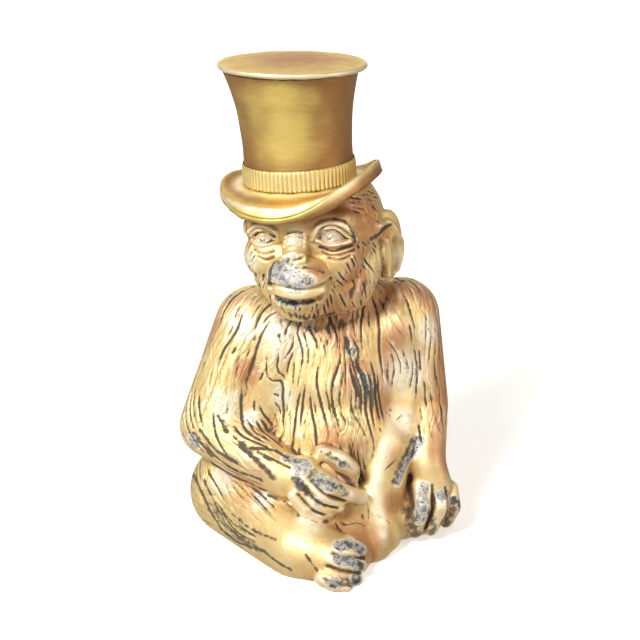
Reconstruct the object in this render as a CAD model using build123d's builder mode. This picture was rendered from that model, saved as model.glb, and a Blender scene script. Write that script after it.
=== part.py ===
from build123d import *
from math import acos, cos, hypot, radians, sin
import os

# A seated monkey in a top hat, cast in white metal in sections that are pegged and soldered together.
# The hat is a lid: its oval spigot drops into an open well in the head.
# Millimetres, +Z up, the front towards -Y. The origin is on the ground, under the middle of the figure.
# Right and left are the monkey's own, so its right side is at -X.

# Seams and fits
seam_gap = 0.15
peg_clearance = 0.15
lid_clearance = 0.4
seat_gap = 0.3

# Trunk: a hollow pear, given by five oval sections
trunk_wall = 3.0
trunk_x = 3.0
trunk_y = 7.0
rump_half_width = 31.0
rump_half_depth = 29.0
belly_height = 22.0
belly_half_width = 32.0
belly_half_depth = 33.0
chest_rise = 30.0
chest_half_width = 28.5
chest_half_depth = 30.0
shoulder_rise = 16.0
shoulder_half_width = 26.0
shoulder_half_depth = 24.0
neck_rise = 12.0
neck_half_width = 19.0
neck_half_depth = 17.0

# Fur locks: two rings of curved cuts round the trunk, the lower ring set half a step round from the upper
lock_count = 12
lock_depth = 1.5
lock_width = 2.6
lock_bow = 1.2
lock_rows = ((24.0, 30.0), (54.0, 32.0))

# Pegs: each starts inside its own casting and ends inside the trunk
neck_peg_radius = 9.0
arm_peg_radius = 5.0
leg_peg_radius = 5.0
peg_outward = 6.0
peg_inward = 8.0

# Head: skull, brow, eyes, cheeks, jaw, muzzle, lower lip, nose and ears, turned to the figure's right
head_middle = (-0.5, -5.0, 98.0)
head_turn = 16.0
skull_radius = 21.5
skull_rise = 1.5
brow_half_span = 13.0
brow_side_reach = 15.5
brow_side_rise = 7.2
brow_reach = 19.3
brow_rise = 8.0
brow_radius = 4.3
eye_half_span = 9.4
eye_reach = 17.2
eye_rise = 2.1
eye_radius = 4.2
cheek_half_span = 10.0
cheek_reach = 12.4
cheek_drop = 5.4
cheek_radius = 9.0
jaw_half_span = 11.5
jaw_side_reach = 7.5
jaw_side_drop = 13.0
jaw_reach = 13.5
jaw_drop = 15.9
jaw_radius = 9.4
muzzle_half_span = 4.0
muzzle_reach = 23.6
muzzle_drop = 8.2
muzzle_radius = 6.0
lip_half_span = 3.4
lip_reach = 19.4
lip_drop = 16.2
lip_radius = 5.4
bridge_reach = 20.5
bridge_rise = 4.7
nose_half_span = 1.5
nose_reach = 28.0
nose_drop = 1.2
nose_radius = 2.9
nape_radius = 15.0
ear_half_width = 6.5
ear_half_height = 11.5
ear_thickness = 4.0
ear_rounding = 1.6
ear_side = 21.0
ear_back = 3.0
ear_drop = 4.0
ear_flare = 62.0

# Right arm: the forearm crosses to the lap
right_shoulder = (-20.5, -3.0, 66.5)
right_shoulder_radius = 13.0
right_elbow = (-34.5, -11.0, 35.5)
right_elbow_radius = 10.5
right_wrist = (-10.0, -32.0, 27.0)
right_wrist_radius = 6.5
right_palm = (0.0, -34.0, 24.3)
right_palm_radius = 6.0
right_finger_tips = ((11.5, -33.5, 22.5), (10.5, -36.5, 18.0), (5.0, -39.0, 17.0), (-0.5, -39.5, 17.5))
right_thumb_tip = (6.0, -30.5, 29.5)

# Left arm: it hangs at the side, with the fingers over the left foot
left_shoulder = (27.0, 3.0, 69.0)
left_shoulder_radius = 12.5
left_elbow = (32.5, -3.0, 40.0)
left_elbow_radius = 9.0
left_wrist = (34.0, -16.0, 25.0)
left_wrist_radius = 6.0
left_palm = (36.5, -18.0, 18.0)
left_palm_radius = 6.0
left_finger_tips = ((31.5, -24.0, 6.5), (35.5, -22.5, 5.5), (39.5, -19.5, 5.5), (43.0, -15.0, 7.0))
left_thumb_tip = (29.0, -21.0, 14.0)

finger_radius = 2.7
thumb_radius = 3.0

# Right leg: it sweeps to the front, with the toes turned to the figure's left
right_hip = (-14.0, 8.0, 13.0)
right_hip_radius = 14.0
right_knee = (-26.5, -8.0, 12.0)
right_knee_radius = 16.0
right_ankle = (-6.0, -38.5, 6.5)
right_ankle_radius = 11.0
right_foot = (5.0, -46.0, 6.0)
right_foot_radius = 7.5
right_toe_tips = ((9.5, -54.0, 3.5), (12.5, -49.5, 4.5), (14.0, -45.0, 5.5), (13.5, -40.5, 7.5))

# Left leg: the knee is raised, and the foot is turned outwards
left_hip = (15.0, 4.0, 15.0)
left_hip_radius = 14.0
left_knee = (20.0, -16.0, 30.0)
left_knee_radius = 11.0
left_ankle = (16.0, -24.0, 9.0)
left_ankle_radius = 8.5
left_foot = (32.0, -14.0, 5.5)
left_foot_radius = 7.0
left_toe_tips = ((39.0, -13.5, 4.0), (41.0, -9.0, 4.0), (41.5, -4.5, 4.0), (40.5, 0.0, 4.0))

toe_radius = 3.0

# Hat: its seat is the underside of the brim, on an axis that leans to the figure's right
hat_seat = (-6.0, -6.5, 112.3)
hat_lean = 3.5
hat_turn = 18.0
brim_side_reach = 8.9
brim_end_reach = 9.9
brim_thickness = 2.2
brim_flat_inset = 0.1
brim_left_curl = 6.0
brim_right_curl = 0.5
brim_dip = 5.0
brim_grid = 28
brim_margin = 1.12
crown_radius = 16.6
crown_wall = 1.6
crown_height = 34.0
crown_flare = 3.4
band_height = 6.3
band_thickness = 0.7
band_rib_count = 76
band_rib_radius = 0.5
top_lip = 2.4
top_thickness = 1.6
top_dome = 1.0
top_rounding = 0.6
top_step_depth = 1.2
spigot_half_width = 10.2
spigot_half_depth = 11.6
spigot_wall = 1.6
spigot_depth = 6.0
well_depth = 24.0

# Base: a plate in a rebate in the open underside, screwed to three bosses, with a felt pad below it
felt_thickness = 1.5
plate_thickness = 2.2
plate_rim = 1.8
plate_gap = 0.3
boss_count = 3
boss_radius = 4.0
boss_height = 9.0
screw_radius = 1.25
screw_length = 8.0
screw_head_radius = 2.4
screw_inset = 4.5
screw_clearance = 0.1

os.makedirs("parts", exist_ok=True)

chest_height = belly_height + chest_rise
shoulder_height = chest_height + shoulder_rise
neck_height = shoulder_height + neck_rise
brim_half_width = crown_radius + brim_side_reach
brim_half_depth = crown_radius + brim_end_reach
brim_flat_radius = crown_radius - brim_flat_inset
crown_top_radius = crown_radius + crown_flare
top_radius = crown_top_radius + top_lip
head_plane = Plane(Location(head_middle, (0, 0, -head_turn)))
neck_plane = Plane((trunk_x, trunk_y, neck_height))
hat_plane = Plane(Location(hat_seat, (0, -hat_lean, -hat_turn)))
hat_axis = Axis(hat_seat, hat_plane.z_dir)
hat_section = Plane(hat_seat, x_dir=hat_plane.x_dir, z_dir=-hat_plane.y_dir)
crown_foot = brim_thickness + seam_gap
top_foot = crown_foot + crown_height + seam_gap
plate_plane = Plane((trunk_x, trunk_y, felt_thickness))


def add_limb(start, start_radius, end, end_radius):
    """Add to the part being built a straight limb that tapers between two round ends."""
    first = Vector(start)
    span = Vector(end) - first
    length = span.length
    tangent = acos((start_radius - end_radius) / length)
    straight = radians(180)

    def on_ball(centre, radius, angle):
        return (centre + radius * cos(angle), radius * sin(angle))

    with BuildSketch(Plane(first, x_dir=span, z_dir=span.cross(Vector(0.1, 0.2, 1)))) as profile:
        with BuildLine():
            ThreePointArc(
                on_ball(0, start_radius, straight),
                on_ball(0, start_radius, (straight + tangent) / 2),
                on_ball(0, start_radius, tangent),
            )
            Line(on_ball(0, start_radius, tangent), on_ball(length, end_radius, tangent))
            ThreePointArc(
                on_ball(length, end_radius, tangent),
                on_ball(length, end_radius, tangent / 2),
                on_ball(length, end_radius, 0),
            )
            Line(on_ball(length, end_radius, 0), on_ball(0, start_radius, straight))
        make_face()
    revolve(profile.sketch.faces(), axis=Axis(first, span))


def trunk_form(grow, bottom, top):
    """The trunk's outside as a solid between two heights, with each section larger by grow."""
    sections = (
        (bottom, rump_half_width, rump_half_depth),
        (belly_height, belly_half_width, belly_half_depth),
        (chest_height, chest_half_width, chest_half_depth),
        (shoulder_height, shoulder_half_width, shoulder_half_depth),
        (top, neck_half_width, neck_half_depth),
    )
    with BuildPart() as form:
        for height, half_width, half_depth in sections:
            with BuildSketch(Plane((trunk_x, trunk_y, height))):
                Ellipse(half_width + grow, half_depth + grow)
        loft()
    return form.part


def head_form(grow):
    """The head's outside as a solid, with each radius larger by grow."""

    def at(x, y, z):
        return head_plane.from_local_coords(Vector(x, y, z))

    def across(half_span, reach, rise, radius):
        add_limb(at(-half_span, -reach, rise), radius + grow, at(half_span, -reach, rise), radius + grow)

    def arch(half_span, side_reach, side_rise, reach, rise, radius):
        for side, middle_radius in ((-1, radius), (1, radius - seam_gap)):
            end = at(side * half_span, -side_reach, side_rise)
            add_limb(end, radius + grow, at(0, -reach, rise), middle_radius + grow)

    with BuildPart() as form:
        with Locations(at(0, 0, skull_rise)):
            Sphere(skull_radius + grow)
        arch(brow_half_span, brow_side_reach, brow_side_rise, brow_reach, brow_rise, brow_radius)
        arch(jaw_half_span, jaw_side_reach, -jaw_side_drop, jaw_reach, -jaw_drop, jaw_radius)
        across(cheek_half_span, cheek_reach, -cheek_drop, cheek_radius)
        across(muzzle_half_span, muzzle_reach, -muzzle_drop, muzzle_radius)
        across(lip_half_span, lip_reach, -lip_drop, lip_radius)
        across(nose_half_span, nose_reach, -nose_drop, nose_radius)
        bridge = at(0, -bridge_reach, bridge_rise)
        add_limb(bridge, nose_radius + grow, at(0, -nose_reach, -nose_drop), nose_radius + grow - seam_gap)
        with Locations(at(-eye_half_span, -eye_reach, eye_rise), at(eye_half_span, -eye_reach, eye_rise)):
            Sphere(eye_radius + grow)
        add_limb(head_middle, nape_radius + grow, neck_plane.origin, nape_radius + grow)
        for side in (-1, 1):
            ear_root = Location((side * ear_side, ear_back, -ear_drop), (0, 0, side * ear_flare))
            ear_plane = Plane(head_plane.location * ear_root * Location(Plane.XZ))
            with BuildPart(mode=Mode.PRIVATE) as ear:
                with BuildSketch(ear_plane):
                    Ellipse(ear_half_width + grow, ear_half_height + grow)
                extrude(amount=ear_thickness / 2 + grow, both=True)
                fillet(ear.edges(), ear_rounding)
            add(ear.part)
    return form.part


def leg_form(grow, hip, knee, ankle, foot, toe_tips):
    """A leg with its foot and toes as a solid, each joint a place and a radius, larger by grow."""
    with BuildPart() as form:
        add_limb(hip[0], hip[1] + grow, knee[0], knee[1] + grow)
        add_limb(knee[0], knee[1] + grow - seam_gap, ankle[0], ankle[1] + grow)
        add_limb(ankle[0], ankle[1] + grow - seam_gap, foot[0], foot[1] + grow)
        for tip in toe_tips:
            add_limb(foot[0], toe_radius + grow, tip, toe_radius + grow)
    return form.part


def arm_form(shoulder, elbow, wrist, palm, finger_tips, thumb_tip):
    """An arm with its hand as a solid, each joint a place and a radius."""
    with BuildPart() as form:
        add_limb(*shoulder, *elbow)
        add_limb(elbow[0], elbow[1] - seam_gap, *wrist)
        add_limb(wrist[0], wrist[1] - seam_gap, *palm)
        for tip in finger_tips:
            add_limb(palm[0], finger_radius, tip, finger_radius)
        add_limb(wrist[0], thumb_radius, thumb_tip, thumb_radius)
    return form.part


def add_peg(root, radius, mode=Mode.ADD):
    """Add or cut a level peg that runs from a limb's root towards the middle of the trunk."""
    inward = Vector(trunk_x - root[0], trunk_y - root[1], 0).normalized()
    with BuildSketch(Plane(Vector(root) - inward * peg_outward, z_dir=inward)) as section:
        Circle(radius)
    extrude(section.sketch, amount=peg_outward + peg_inward, mode=mode)


def brim_face(drop):
    """The brim's underside, lowered by drop: flat in the middle, curled at the sides, dipped at the ends."""

    def place(across, along):
        x = across * brim_half_width
        y = along * brim_half_depth
        edge = hypot(across, along)
        reach = hypot(x, y)
        if reach <= brim_flat_radius:
            return hat_plane.from_local_coords(Vector(x, y, -drop))
        share = (reach - brim_flat_radius) / (reach / edge - brim_flat_radius)
        curl = brim_left_curl if across > 0 else brim_right_curl
        rise = (curl * across**2 - brim_dip * along**2) / edge**2
        return hat_plane.from_local_coords(Vector(x, y, rise * share**2 - drop))

    steps = [brim_margin * (2 * step / brim_grid - 1) for step in range(brim_grid + 1)]
    return Face.make_surface_from_array_of_points([[place(a, b) for a in steps] for b in steps])


def crown_outline(inset):
    """Draw half the crown's outline: upright behind the band, then flared in one arc to the rim."""
    rim_height = crown_foot + crown_height
    with BuildLine() as outline:
        upright = Line((crown_radius - inset, crown_foot), (crown_radius - inset, crown_foot + band_height))
        flare = TangentArc(upright @ 1, (crown_top_radius - inset, rim_height), tangent=upright % 1)
        Polyline(flare @ 1, (0, rim_height), (0, crown_foot), upright @ 0)
    return outline.line


right_leg_joints = (
    (right_hip, right_hip_radius),
    (right_knee, right_knee_radius),
    (right_ankle, right_ankle_radius),
    (right_foot, right_foot_radius),
    right_toe_tips,
)
left_leg_joints = (
    (left_hip, left_hip_radius),
    (left_knee, left_knee_radius),
    (left_ankle, left_ankle_radius),
    (left_foot, left_foot_radius),
    left_toe_tips,
)
right_arm_joints = (
    (right_shoulder, right_shoulder_radius),
    (right_elbow, right_elbow_radius),
    (right_wrist, right_wrist_radius),
    (right_palm, right_palm_radius),
    right_finger_tips,
    right_thumb_tip,
)
left_arm_joints = (
    (left_shoulder, left_shoulder_radius),
    (left_elbow, left_elbow_radius),
    (left_wrist, left_wrist_radius),
    (left_palm, left_palm_radius),
    left_finger_tips,
    left_thumb_tip,
)

# Where two castings meet, the later one is cut back from the earlier one by the seam
trunk_cutter = trunk_form(seam_gap, -seam_gap, neck_height + seam_gap)
head_cutter = head_form(seam_gap)
right_leg_cutter = leg_form(seam_gap, *right_leg_joints)
left_leg_cutter = leg_form(seam_gap, *left_leg_joints)

# The screws and their bosses stand on an oval ring inside the plate's edge
plate_half_width = rump_half_width - plate_rim - plate_gap
plate_half_depth = rump_half_depth - plate_rim - plate_gap
screw_points = []
boss_places = []
for step in range(boss_count):
    angle = 270 + 360 * step / boss_count
    x = (plate_half_width - screw_inset) * cos(radians(angle))
    y = (plate_half_depth - screw_inset) * sin(radians(angle))
    screw_points.append((x, y))
    boss_places.append(Location((x, y), angle))

# Fur locks: each cut is a crescent on the trunk's side, as deep as the skin between two trunk forms
with BuildPart() as fur_cuts:
    for row, (middle_height, length) in enumerate(lock_rows):
        for step in range(lock_count):
            angle = radians(360 * (step + row / 2) / lock_count)
            outward = Vector(cos(angle), sin(angle), 0)
            with BuildSketch(Plane((trunk_x, trunk_y, middle_height), x_dir=Vector(0, 0, 1), z_dir=outward)):
                with BuildLine():
                    tips = ((-length / 2, 0), (length / 2, 0))
                    ThreePointArc(tips[0], (0, lock_bow - lock_width / 2), tips[1])
                    ThreePointArc(tips[0], (0, lock_bow + lock_width / 2), tips[1])
                make_face()
            extrude(amount=2 * belly_half_depth)
    add(trunk_form(-lock_depth, 0, neck_height), mode=Mode.SUBTRACT)

# Trunk: the bosses are left standing in the cavity, each joined to the wall behind it.
# A rebate in the foot takes the plate.
with BuildPart() as trunk_cavity:
    add(trunk_form(-trunk_wall, -trunk_wall, neck_height - trunk_wall))
    with BuildSketch(plate_plane.offset(plate_thickness)):
        with Locations(*boss_places):
            Circle(boss_radius)
            Rectangle(belly_half_width, 2 * boss_radius, align=(Align.MIN, Align.CENTER))
    extrude(amount=boss_height, mode=Mode.SUBTRACT)
with BuildPart() as trunk:
    add(trunk_form(0, 0, neck_height))
    add(trunk_cavity.part, mode=Mode.SUBTRACT)
    add(fur_cuts.part, mode=Mode.SUBTRACT)
    with BuildSketch(plate_plane.offset(plate_thickness)):
        Ellipse(plate_half_width + plate_gap, plate_half_depth + plate_gap)
    extrude(amount=-plate_thickness - felt_thickness, mode=Mode.SUBTRACT)
    with BuildSketch(plate_plane):
        with Locations(*screw_points):
            Circle(screw_radius + screw_clearance)
    extrude(amount=screw_length + screw_clearance, mode=Mode.SUBTRACT)
    with BuildSketch(neck_plane.offset(peg_outward)):
        Circle(neck_peg_radius + peg_clearance)
    extrude(amount=-peg_outward - peg_inward, mode=Mode.SUBTRACT)
    for shoulder in (right_shoulder, left_shoulder):
        add_peg(shoulder, arm_peg_radius + peg_clearance, mode=Mode.SUBTRACT)
    for knee in (right_knee, left_knee):
        add_peg(knee, leg_peg_radius + peg_clearance, mode=Mode.SUBTRACT)
trunk.part.label = "trunk"
export_step(trunk.part, "parts/trunk.step")

# Head: cut to clear the brim all over, with the well sunk along the hat's own axis
with BuildPart() as head:
    add(head_form(0))
    add(trunk_cutter, mode=Mode.SUBTRACT)
    extrude(brim_face(seat_gap), amount=skull_radius, dir=hat_axis.direction, mode=Mode.SUBTRACT)
    with BuildSketch(hat_plane):
        Ellipse(spigot_half_width + lid_clearance, spigot_half_depth + lid_clearance)
    extrude(amount=-well_depth, mode=Mode.SUBTRACT)
    with BuildSketch(neck_plane.offset(peg_outward)):
        Circle(neck_peg_radius)
    extrude(amount=-peg_outward - peg_inward)
head.part.label = "head"
export_step(head.part, "parts/head.step")

# Right leg
with BuildPart() as right_leg:
    add(leg_form(0, *right_leg_joints))
    add(trunk_cutter, mode=Mode.SUBTRACT)
    split(bisect_by=Plane.XY)
    add_peg(right_knee, leg_peg_radius)
right_leg.part.label = "right_leg"
export_step(right_leg.part, "parts/right_leg.step")

# Left leg
with BuildPart() as left_leg:
    add(leg_form(0, *left_leg_joints))
    add(trunk_cutter, mode=Mode.SUBTRACT)
    add(right_leg_cutter, mode=Mode.SUBTRACT)
    split(bisect_by=Plane.XY)
    add_peg(left_knee, leg_peg_radius)
left_leg.part.label = "left_leg"
export_step(left_leg.part, "parts/left_leg.step")

# Right arm
with BuildPart() as right_arm:
    add(arm_form(*right_arm_joints))
    for cutter in (trunk_cutter, head_cutter, right_leg_cutter, left_leg_cutter):
        add(cutter, mode=Mode.SUBTRACT)
    add_peg(right_shoulder, arm_peg_radius)
right_arm.part.label = "right_arm"
export_step(right_arm.part, "parts/right_arm.step")

# Left arm
with BuildPart() as left_arm:
    add(arm_form(*left_arm_joints))
    for cutter in (trunk_cutter, head_cutter, right_leg_cutter, left_leg_cutter):
        add(cutter, mode=Mode.SUBTRACT)
    split(bisect_by=Plane.XY)
    add_peg(left_shoulder, arm_peg_radius)
left_arm.part.label = "left_arm"
export_step(left_arm.part, "parts/left_arm.step")

# Hat brim: the curled sheet within an oval
with BuildPart() as hat_brim:
    extrude(brim_face(0), amount=brim_thickness, dir=hat_axis.direction)
    with BuildSketch(hat_plane):
        Ellipse(brim_half_width, brim_half_depth)
    extrude(amount=crown_height, both=True, mode=Mode.INTERSECT)
hat_brim.part.label = "hat_brim"
export_step(hat_brim.part, "parts/hat_brim.step")

# Hat spigot
with BuildPart() as hat_spigot:
    with BuildSketch(hat_plane.offset(-seam_gap)):
        Ellipse(spigot_half_width, spigot_half_depth)
        Ellipse(spigot_half_width - spigot_wall, spigot_half_depth - spigot_wall, mode=Mode.SUBTRACT)
    extrude(amount=-spigot_depth)
hat_spigot.part.label = "hat_spigot"
export_step(hat_spigot.part, "parts/hat_spigot.step")

# Hat crown
with BuildPart() as hat_crown:
    with BuildSketch(hat_section):
        make_face(crown_outline(0).edges())
        make_face(crown_outline(crown_wall).edges(), mode=Mode.SUBTRACT)
    revolve(axis=hat_axis)
hat_crown.part.label = "hat_crown"
export_step(hat_crown.part, "parts/hat_crown.step")

# Hat top: a domed disc with a lip, stepped to drop into the crown
with BuildPart() as hat_top:
    step_radius = crown_top_radius - crown_wall - lid_clearance
    lip_height = top_foot + top_thickness
    with BuildSketch(hat_section):
        with BuildLine():
            Polyline(
                (0, lip_height + top_dome),
                (0, top_foot - top_step_depth),
                (step_radius, top_foot - top_step_depth),
                (step_radius, top_foot),
                (top_radius, top_foot),
                (top_radius, lip_height),
            )
            TangentArc((0, lip_height + top_dome), (top_radius, lip_height), tangent=(1, 0))
        make_face()
    revolve(axis=hat_axis)
    rings = hat_top.edges().filter_by(lambda edge: edge.is_closed)
    lip_rings = rings.filter_by(lambda ring: abs(ring.radius - top_radius) < seam_gap)
    fillet(lip_rings, top_rounding)
hat_top.part.label = "hat_top"
export_step(hat_top.part, "parts/hat_top.step")

# Hat band: a ring with upright ribs
with BuildPart() as hat_band:
    band_radius = crown_radius + seam_gap + band_thickness
    with BuildSketch(hat_plane.offset(crown_foot)):
        Circle(band_radius)
        with PolarLocations(band_radius, band_rib_count):
            Circle(band_rib_radius)
        Circle(crown_radius + seam_gap, mode=Mode.SUBTRACT)
    extrude(amount=band_height)
hat_band.part.label = "hat_band"
export_step(hat_band.part, "parts/hat_band.step")

# Base plate, screws and felt pad
with BuildPart(plate_plane) as base_plate:
    with BuildSketch(plate_plane):
        Ellipse(plate_half_width, plate_half_depth)
    extrude(amount=plate_thickness)
    with Locations(*[Location((x, y, 0), (180, 0, 0)) for x, y in screw_points]):
        CounterSinkHole(
            screw_radius + screw_clearance,
            screw_head_radius + screw_clearance,
            depth=plate_thickness,
            counter_sink_angle=90,
        )
base_plate.part.label = "base_plate"
export_step(base_plate.part, "parts/base_plate.step")

with BuildPart(plate_plane) as base_screws:
    low = (Align.CENTER, Align.CENTER, Align.MIN)
    with Locations(*screw_points):
        Cone(screw_head_radius, screw_radius, screw_head_radius - screw_radius, align=low)
        Cylinder(screw_radius, screw_length, align=low)
base_screws.part.label = "base_screws"
export_step(base_screws.part, "parts/base_screws.step")

with BuildPart() as felt_pad:
    with BuildSketch(Plane((trunk_x, trunk_y, 0))):
        Ellipse(plate_half_width, plate_half_depth)
    extrude(amount=felt_thickness)
felt_pad.part.label = "felt_pad"
export_step(felt_pad.part, "parts/felt_pad.step")
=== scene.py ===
import math
import random

import bmesh
import bpy
import numpy as np
from mathutils import Matrix, Vector, noise
from mathutils.bvhtree import BVHTree
from mathutils.kdtree import KDTree


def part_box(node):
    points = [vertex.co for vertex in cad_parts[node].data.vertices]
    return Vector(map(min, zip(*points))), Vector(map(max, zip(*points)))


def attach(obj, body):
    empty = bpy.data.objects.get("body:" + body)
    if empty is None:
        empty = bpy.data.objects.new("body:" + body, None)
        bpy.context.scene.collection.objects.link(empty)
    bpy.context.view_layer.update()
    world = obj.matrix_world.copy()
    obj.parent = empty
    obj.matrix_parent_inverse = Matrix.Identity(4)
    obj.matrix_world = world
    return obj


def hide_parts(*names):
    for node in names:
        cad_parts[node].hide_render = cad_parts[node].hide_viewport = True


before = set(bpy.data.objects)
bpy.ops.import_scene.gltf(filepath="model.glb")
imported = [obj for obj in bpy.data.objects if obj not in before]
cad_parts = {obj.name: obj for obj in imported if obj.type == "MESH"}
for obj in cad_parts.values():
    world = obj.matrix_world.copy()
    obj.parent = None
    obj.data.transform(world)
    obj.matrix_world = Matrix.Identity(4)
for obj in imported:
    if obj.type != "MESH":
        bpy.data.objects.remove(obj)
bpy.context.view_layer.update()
scene = bpy.context.scene

# The view: in front of the figure and a little above it, in a square picture.
# It comes first because the face, the hands and the worn spots are set out on that picture.
mm = 0.001
picture_size = 640
focal_pixels = 1508.0
sensor_width = 36.0
camera_place = Vector((0.0, -0.455, 0.222))
camera_pitch = math.radians(18.8)

camera_data = bpy.data.cameras.new("portrait_camera")
camera_data.sensor_width = sensor_width
camera_data.lens = focal_pixels * sensor_width / picture_size
camera_data.clip_start = 0.01
camera = bpy.data.objects.new("portrait_camera", camera_data)
camera.location = camera_place
camera.rotation_euler = (math.radians(90) - camera_pitch, 0, 0)
scene.collection.objects.link(camera)
scene.camera = camera


def sight_line(across, down):
    """The direction from the camera through a point of the picture, given in its pixels."""
    half = picture_size / 2
    ahead = Vector((0, math.cos(camera_pitch), -math.sin(camera_pitch)))
    upward = Vector((0, math.sin(camera_pitch), math.cos(camera_pitch)))
    return ahead + Vector((1, 0, 0)) * ((across - half) / focal_pixels) + upward * ((half - down) / focal_pixels)


def seen(across, down, depth):
    """The place, in millimetres, that the picture shows at a point, on the upright plane y = depth."""
    direction = sight_line(across, down)
    travel = (depth * mm - camera_place.y) / direction.y
    return (camera_place + direction * travel) / mm


# Body: trunk, arms and legs, slush-cast in white metal and soldered on pegs.
# The sculptor made them as one clay form, so they are shaped together here and parted at the seams later.
trunk_x = 3.0
trunk_y = 7.0
trunk_rings = ((0, 31, 29), (22, 32, 33), (52, 28.5, 30), (68, 26, 24), (80, 19, 17))
trunk_steps = 48
finger_radius = 2.6
thumb_radius = 2.8
toe_radius = 2.7

right_shoulder = (-20.5, -3.0, 66.5)
right_elbow = (-34.5, -11.0, 35.5)
right_wrist = (-10.0, -32.0, 27.0)
right_palm = seen(303, 474, -34)
left_shoulder = (26.0, 3.0, 67.8)
left_elbow = (32.5, -3.0, 40.0)
left_wrist = (34.0, -16.0, 25.0)
left_palm = (36.0, -17.5, 18.0)
right_hip = (-14.0, 8.0, 13.0)
right_knee = (-26.5, -8.0, 12.0)
right_ankle = (-6.0, -38.5, 6.5)
right_foot = (5.0, -46.0, 6.0)
left_hip = (15.0, 4.0, 15.0)
left_knee = (20.0, -16.0, 30.0)
left_ankle = (16.0, -24.0, 9.0)
left_foot = (32.0, -14.0, 5.5)

arm_limbs = [
    (right_shoulder, 13.0, right_elbow, 10.5),
    (right_elbow, 10.5, right_wrist, 6.5),
    (right_wrist, 6.5, right_palm, 6.0),
]
right_thumb = (seen(322, 452, -31), seen(340, 458, -33), seen(352, 468, -32.5))
right_fingers = (
    (seen(312, 472, -36), seen(331, 485, -38.5), seen(348, 494, -36.5), seen(361, 497, -33)),
    (seen(306, 480, -37.5), seen(322, 496, -39.5), seen(338, 506, -37)),
    (seen(300, 487, -38.5), seen(312, 503, -40), seen(328, 512, -38)),
    (seen(295, 494, -39), seen(305, 508, -40), seen(318, 516, -39)),
)
left_fingers = (
    (seen(420, 484, -20), seen(423, 507, -24), seen(415, 531, -24.5)),
    (seen(437, 482, -19), seen(441, 506, -22.5), seen(431, 529, -23)),
    (seen(450, 488, -16.5), seen(453, 507, -19.5), seen(446, 521, -20)),
)
right_toes = (
    (seen(331, 541, -42), seen(347, 543, -44), seen(360, 550, -43)),
    (seen(328, 553, -46), seen(345, 560, -48.5), seen(360, 566, -46.5)),
    (seen(325, 566, -49), seen(340, 573, -51.5), seen(355, 579, -50)),
    (seen(322, 577, -51.5), seen(334, 583, -54), seen(345, 586, -53.5)),
)
left_toes = (
    ((33.0, -14.0, 5.0), (39.0, -13.5, 4.0)),
    ((34.0, -10.0, 5.0), (41.0, -9.0, 4.0)),
    ((34.0, -6.0, 5.0), (41.5, -4.5, 4.0)),
    ((33.0, -2.0, 5.0), (40.5, 0.0, 4.0)),
)


def digits(chains, radius):
    """The limbs of fingers or toes that follow short chains of joints, a little thinner at each tip."""
    found = []
    for chain in chains:
        for start, end in zip(chain, chain[1:]):
            thin = 0.88 if end is chain[-1] else 1.0
            found.append((start, radius, end, radius * thin))
    return found


castings = {
    "right_arm": arm_limbs + digits(right_fingers, finger_radius) + digits([right_thumb], thumb_radius),
    "left_arm": [
        (left_shoulder, 12.5, left_elbow, 9.0),
        (left_elbow, 9.0, left_wrist, 6.0),
        (left_wrist, 6.0, left_palm, 6.0),
    ] + digits(left_fingers, finger_radius),
    "right_leg": [
        (right_hip, 14.0, right_knee, 16.0),
        (right_knee, 16.0, right_ankle, 11.0),
        (right_ankle, 11.0, right_foot, 7.5),
    ] + digits(right_toes, toe_radius),
    "left_leg": [
        (left_hip, 14.0, left_knee, 9.5),
        (left_knee, 9.5, left_ankle, 8.5),
        (left_ankle, 8.5, left_foot, 7.0),
        (seen(391, 432, -15), 5.5, seen(378, 484, -23), 4.5),
        (seen(378, 484, -23), 4.5, seen(384, 534, -27), 6.0),
    ] + digits(left_toes, toe_radius),
}
# Clay pressed into the corners between the masses, kept with the casting that it belongs to.
webs = {
    "trunk": [
        (seen(345, 500, -27), 7.0, seen(372, 520, -26), 7.0),
    ],
    "right_arm": [((-13.0, -9.0, 65.0), 10.0, (-19.0, -12.0, 40.0), 9.0)],
    "left_arm": [((22.0, -4.0, 66.0), 10.0, (25.0, -6.0, 40.0), 8.0)],
    "right_leg": [((-20.0, -14.0, 17.0), 14.0, (-2.0, -32.0, 10.0), 10.5)],
    "left_leg": [
        ((8.0, -26.0, 5.0), 12.0, (14.0, -30.0, 4.0), 9.0),
        ((8.0, -32.0, 6.0), 9.0, (10.0, -40.0, 4.0), 6.0),
        (seen(374, 446, -13), 9.0, seen(368, 505, -22), 8.5),
        (seen(396, 395, -7), 8.0, seen(393, 440, -13), 8.0),
        (seen(402, 470, -11), 6.0, seen(399, 515, -19), 6.5),
    ],
}


def add_wrapped(clay, lump):
    """Wraps the points of a lump in one closed skin, adds it to the clay, and frees the lump."""
    bmesh.ops.delete(lump, geom=list(lump.faces), context="FACES_ONLY")
    hull = bmesh.ops.convex_hull(lump, input=list(lump.verts))
    inside = [item for item in hull["geom_interior"] if isinstance(item, bmesh.types.BMVert)]
    bmesh.ops.delete(lump, geom=inside, context="VERTS")
    passing = bpy.data.meshes.new("lump")
    lump.to_mesh(passing)
    lump.free()
    clay.from_mesh(passing)
    bpy.data.meshes.remove(passing)


def add_egg(clay, centre, half_sizes, turn=None):
    """Adds an egg to the clay, with its place and half sizes in millimetres."""
    place = Matrix.Translation(Vector(centre) * mm) @ (turn or Matrix())
    stretch = Matrix.Diagonal(Vector(half_sizes) * mm).to_4x4()
    bmesh.ops.create_icosphere(clay, subdivisions=3, radius=1.0, matrix=place @ stretch)


def add_limb(clay, start, start_radius, end, end_radius):
    """Adds a straight limb with round ends to the clay."""
    lump = bmesh.new()
    add_egg(lump, start, (start_radius,) * 3)
    add_egg(lump, end, (end_radius,) * 3)
    add_wrapped(clay, lump)


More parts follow.
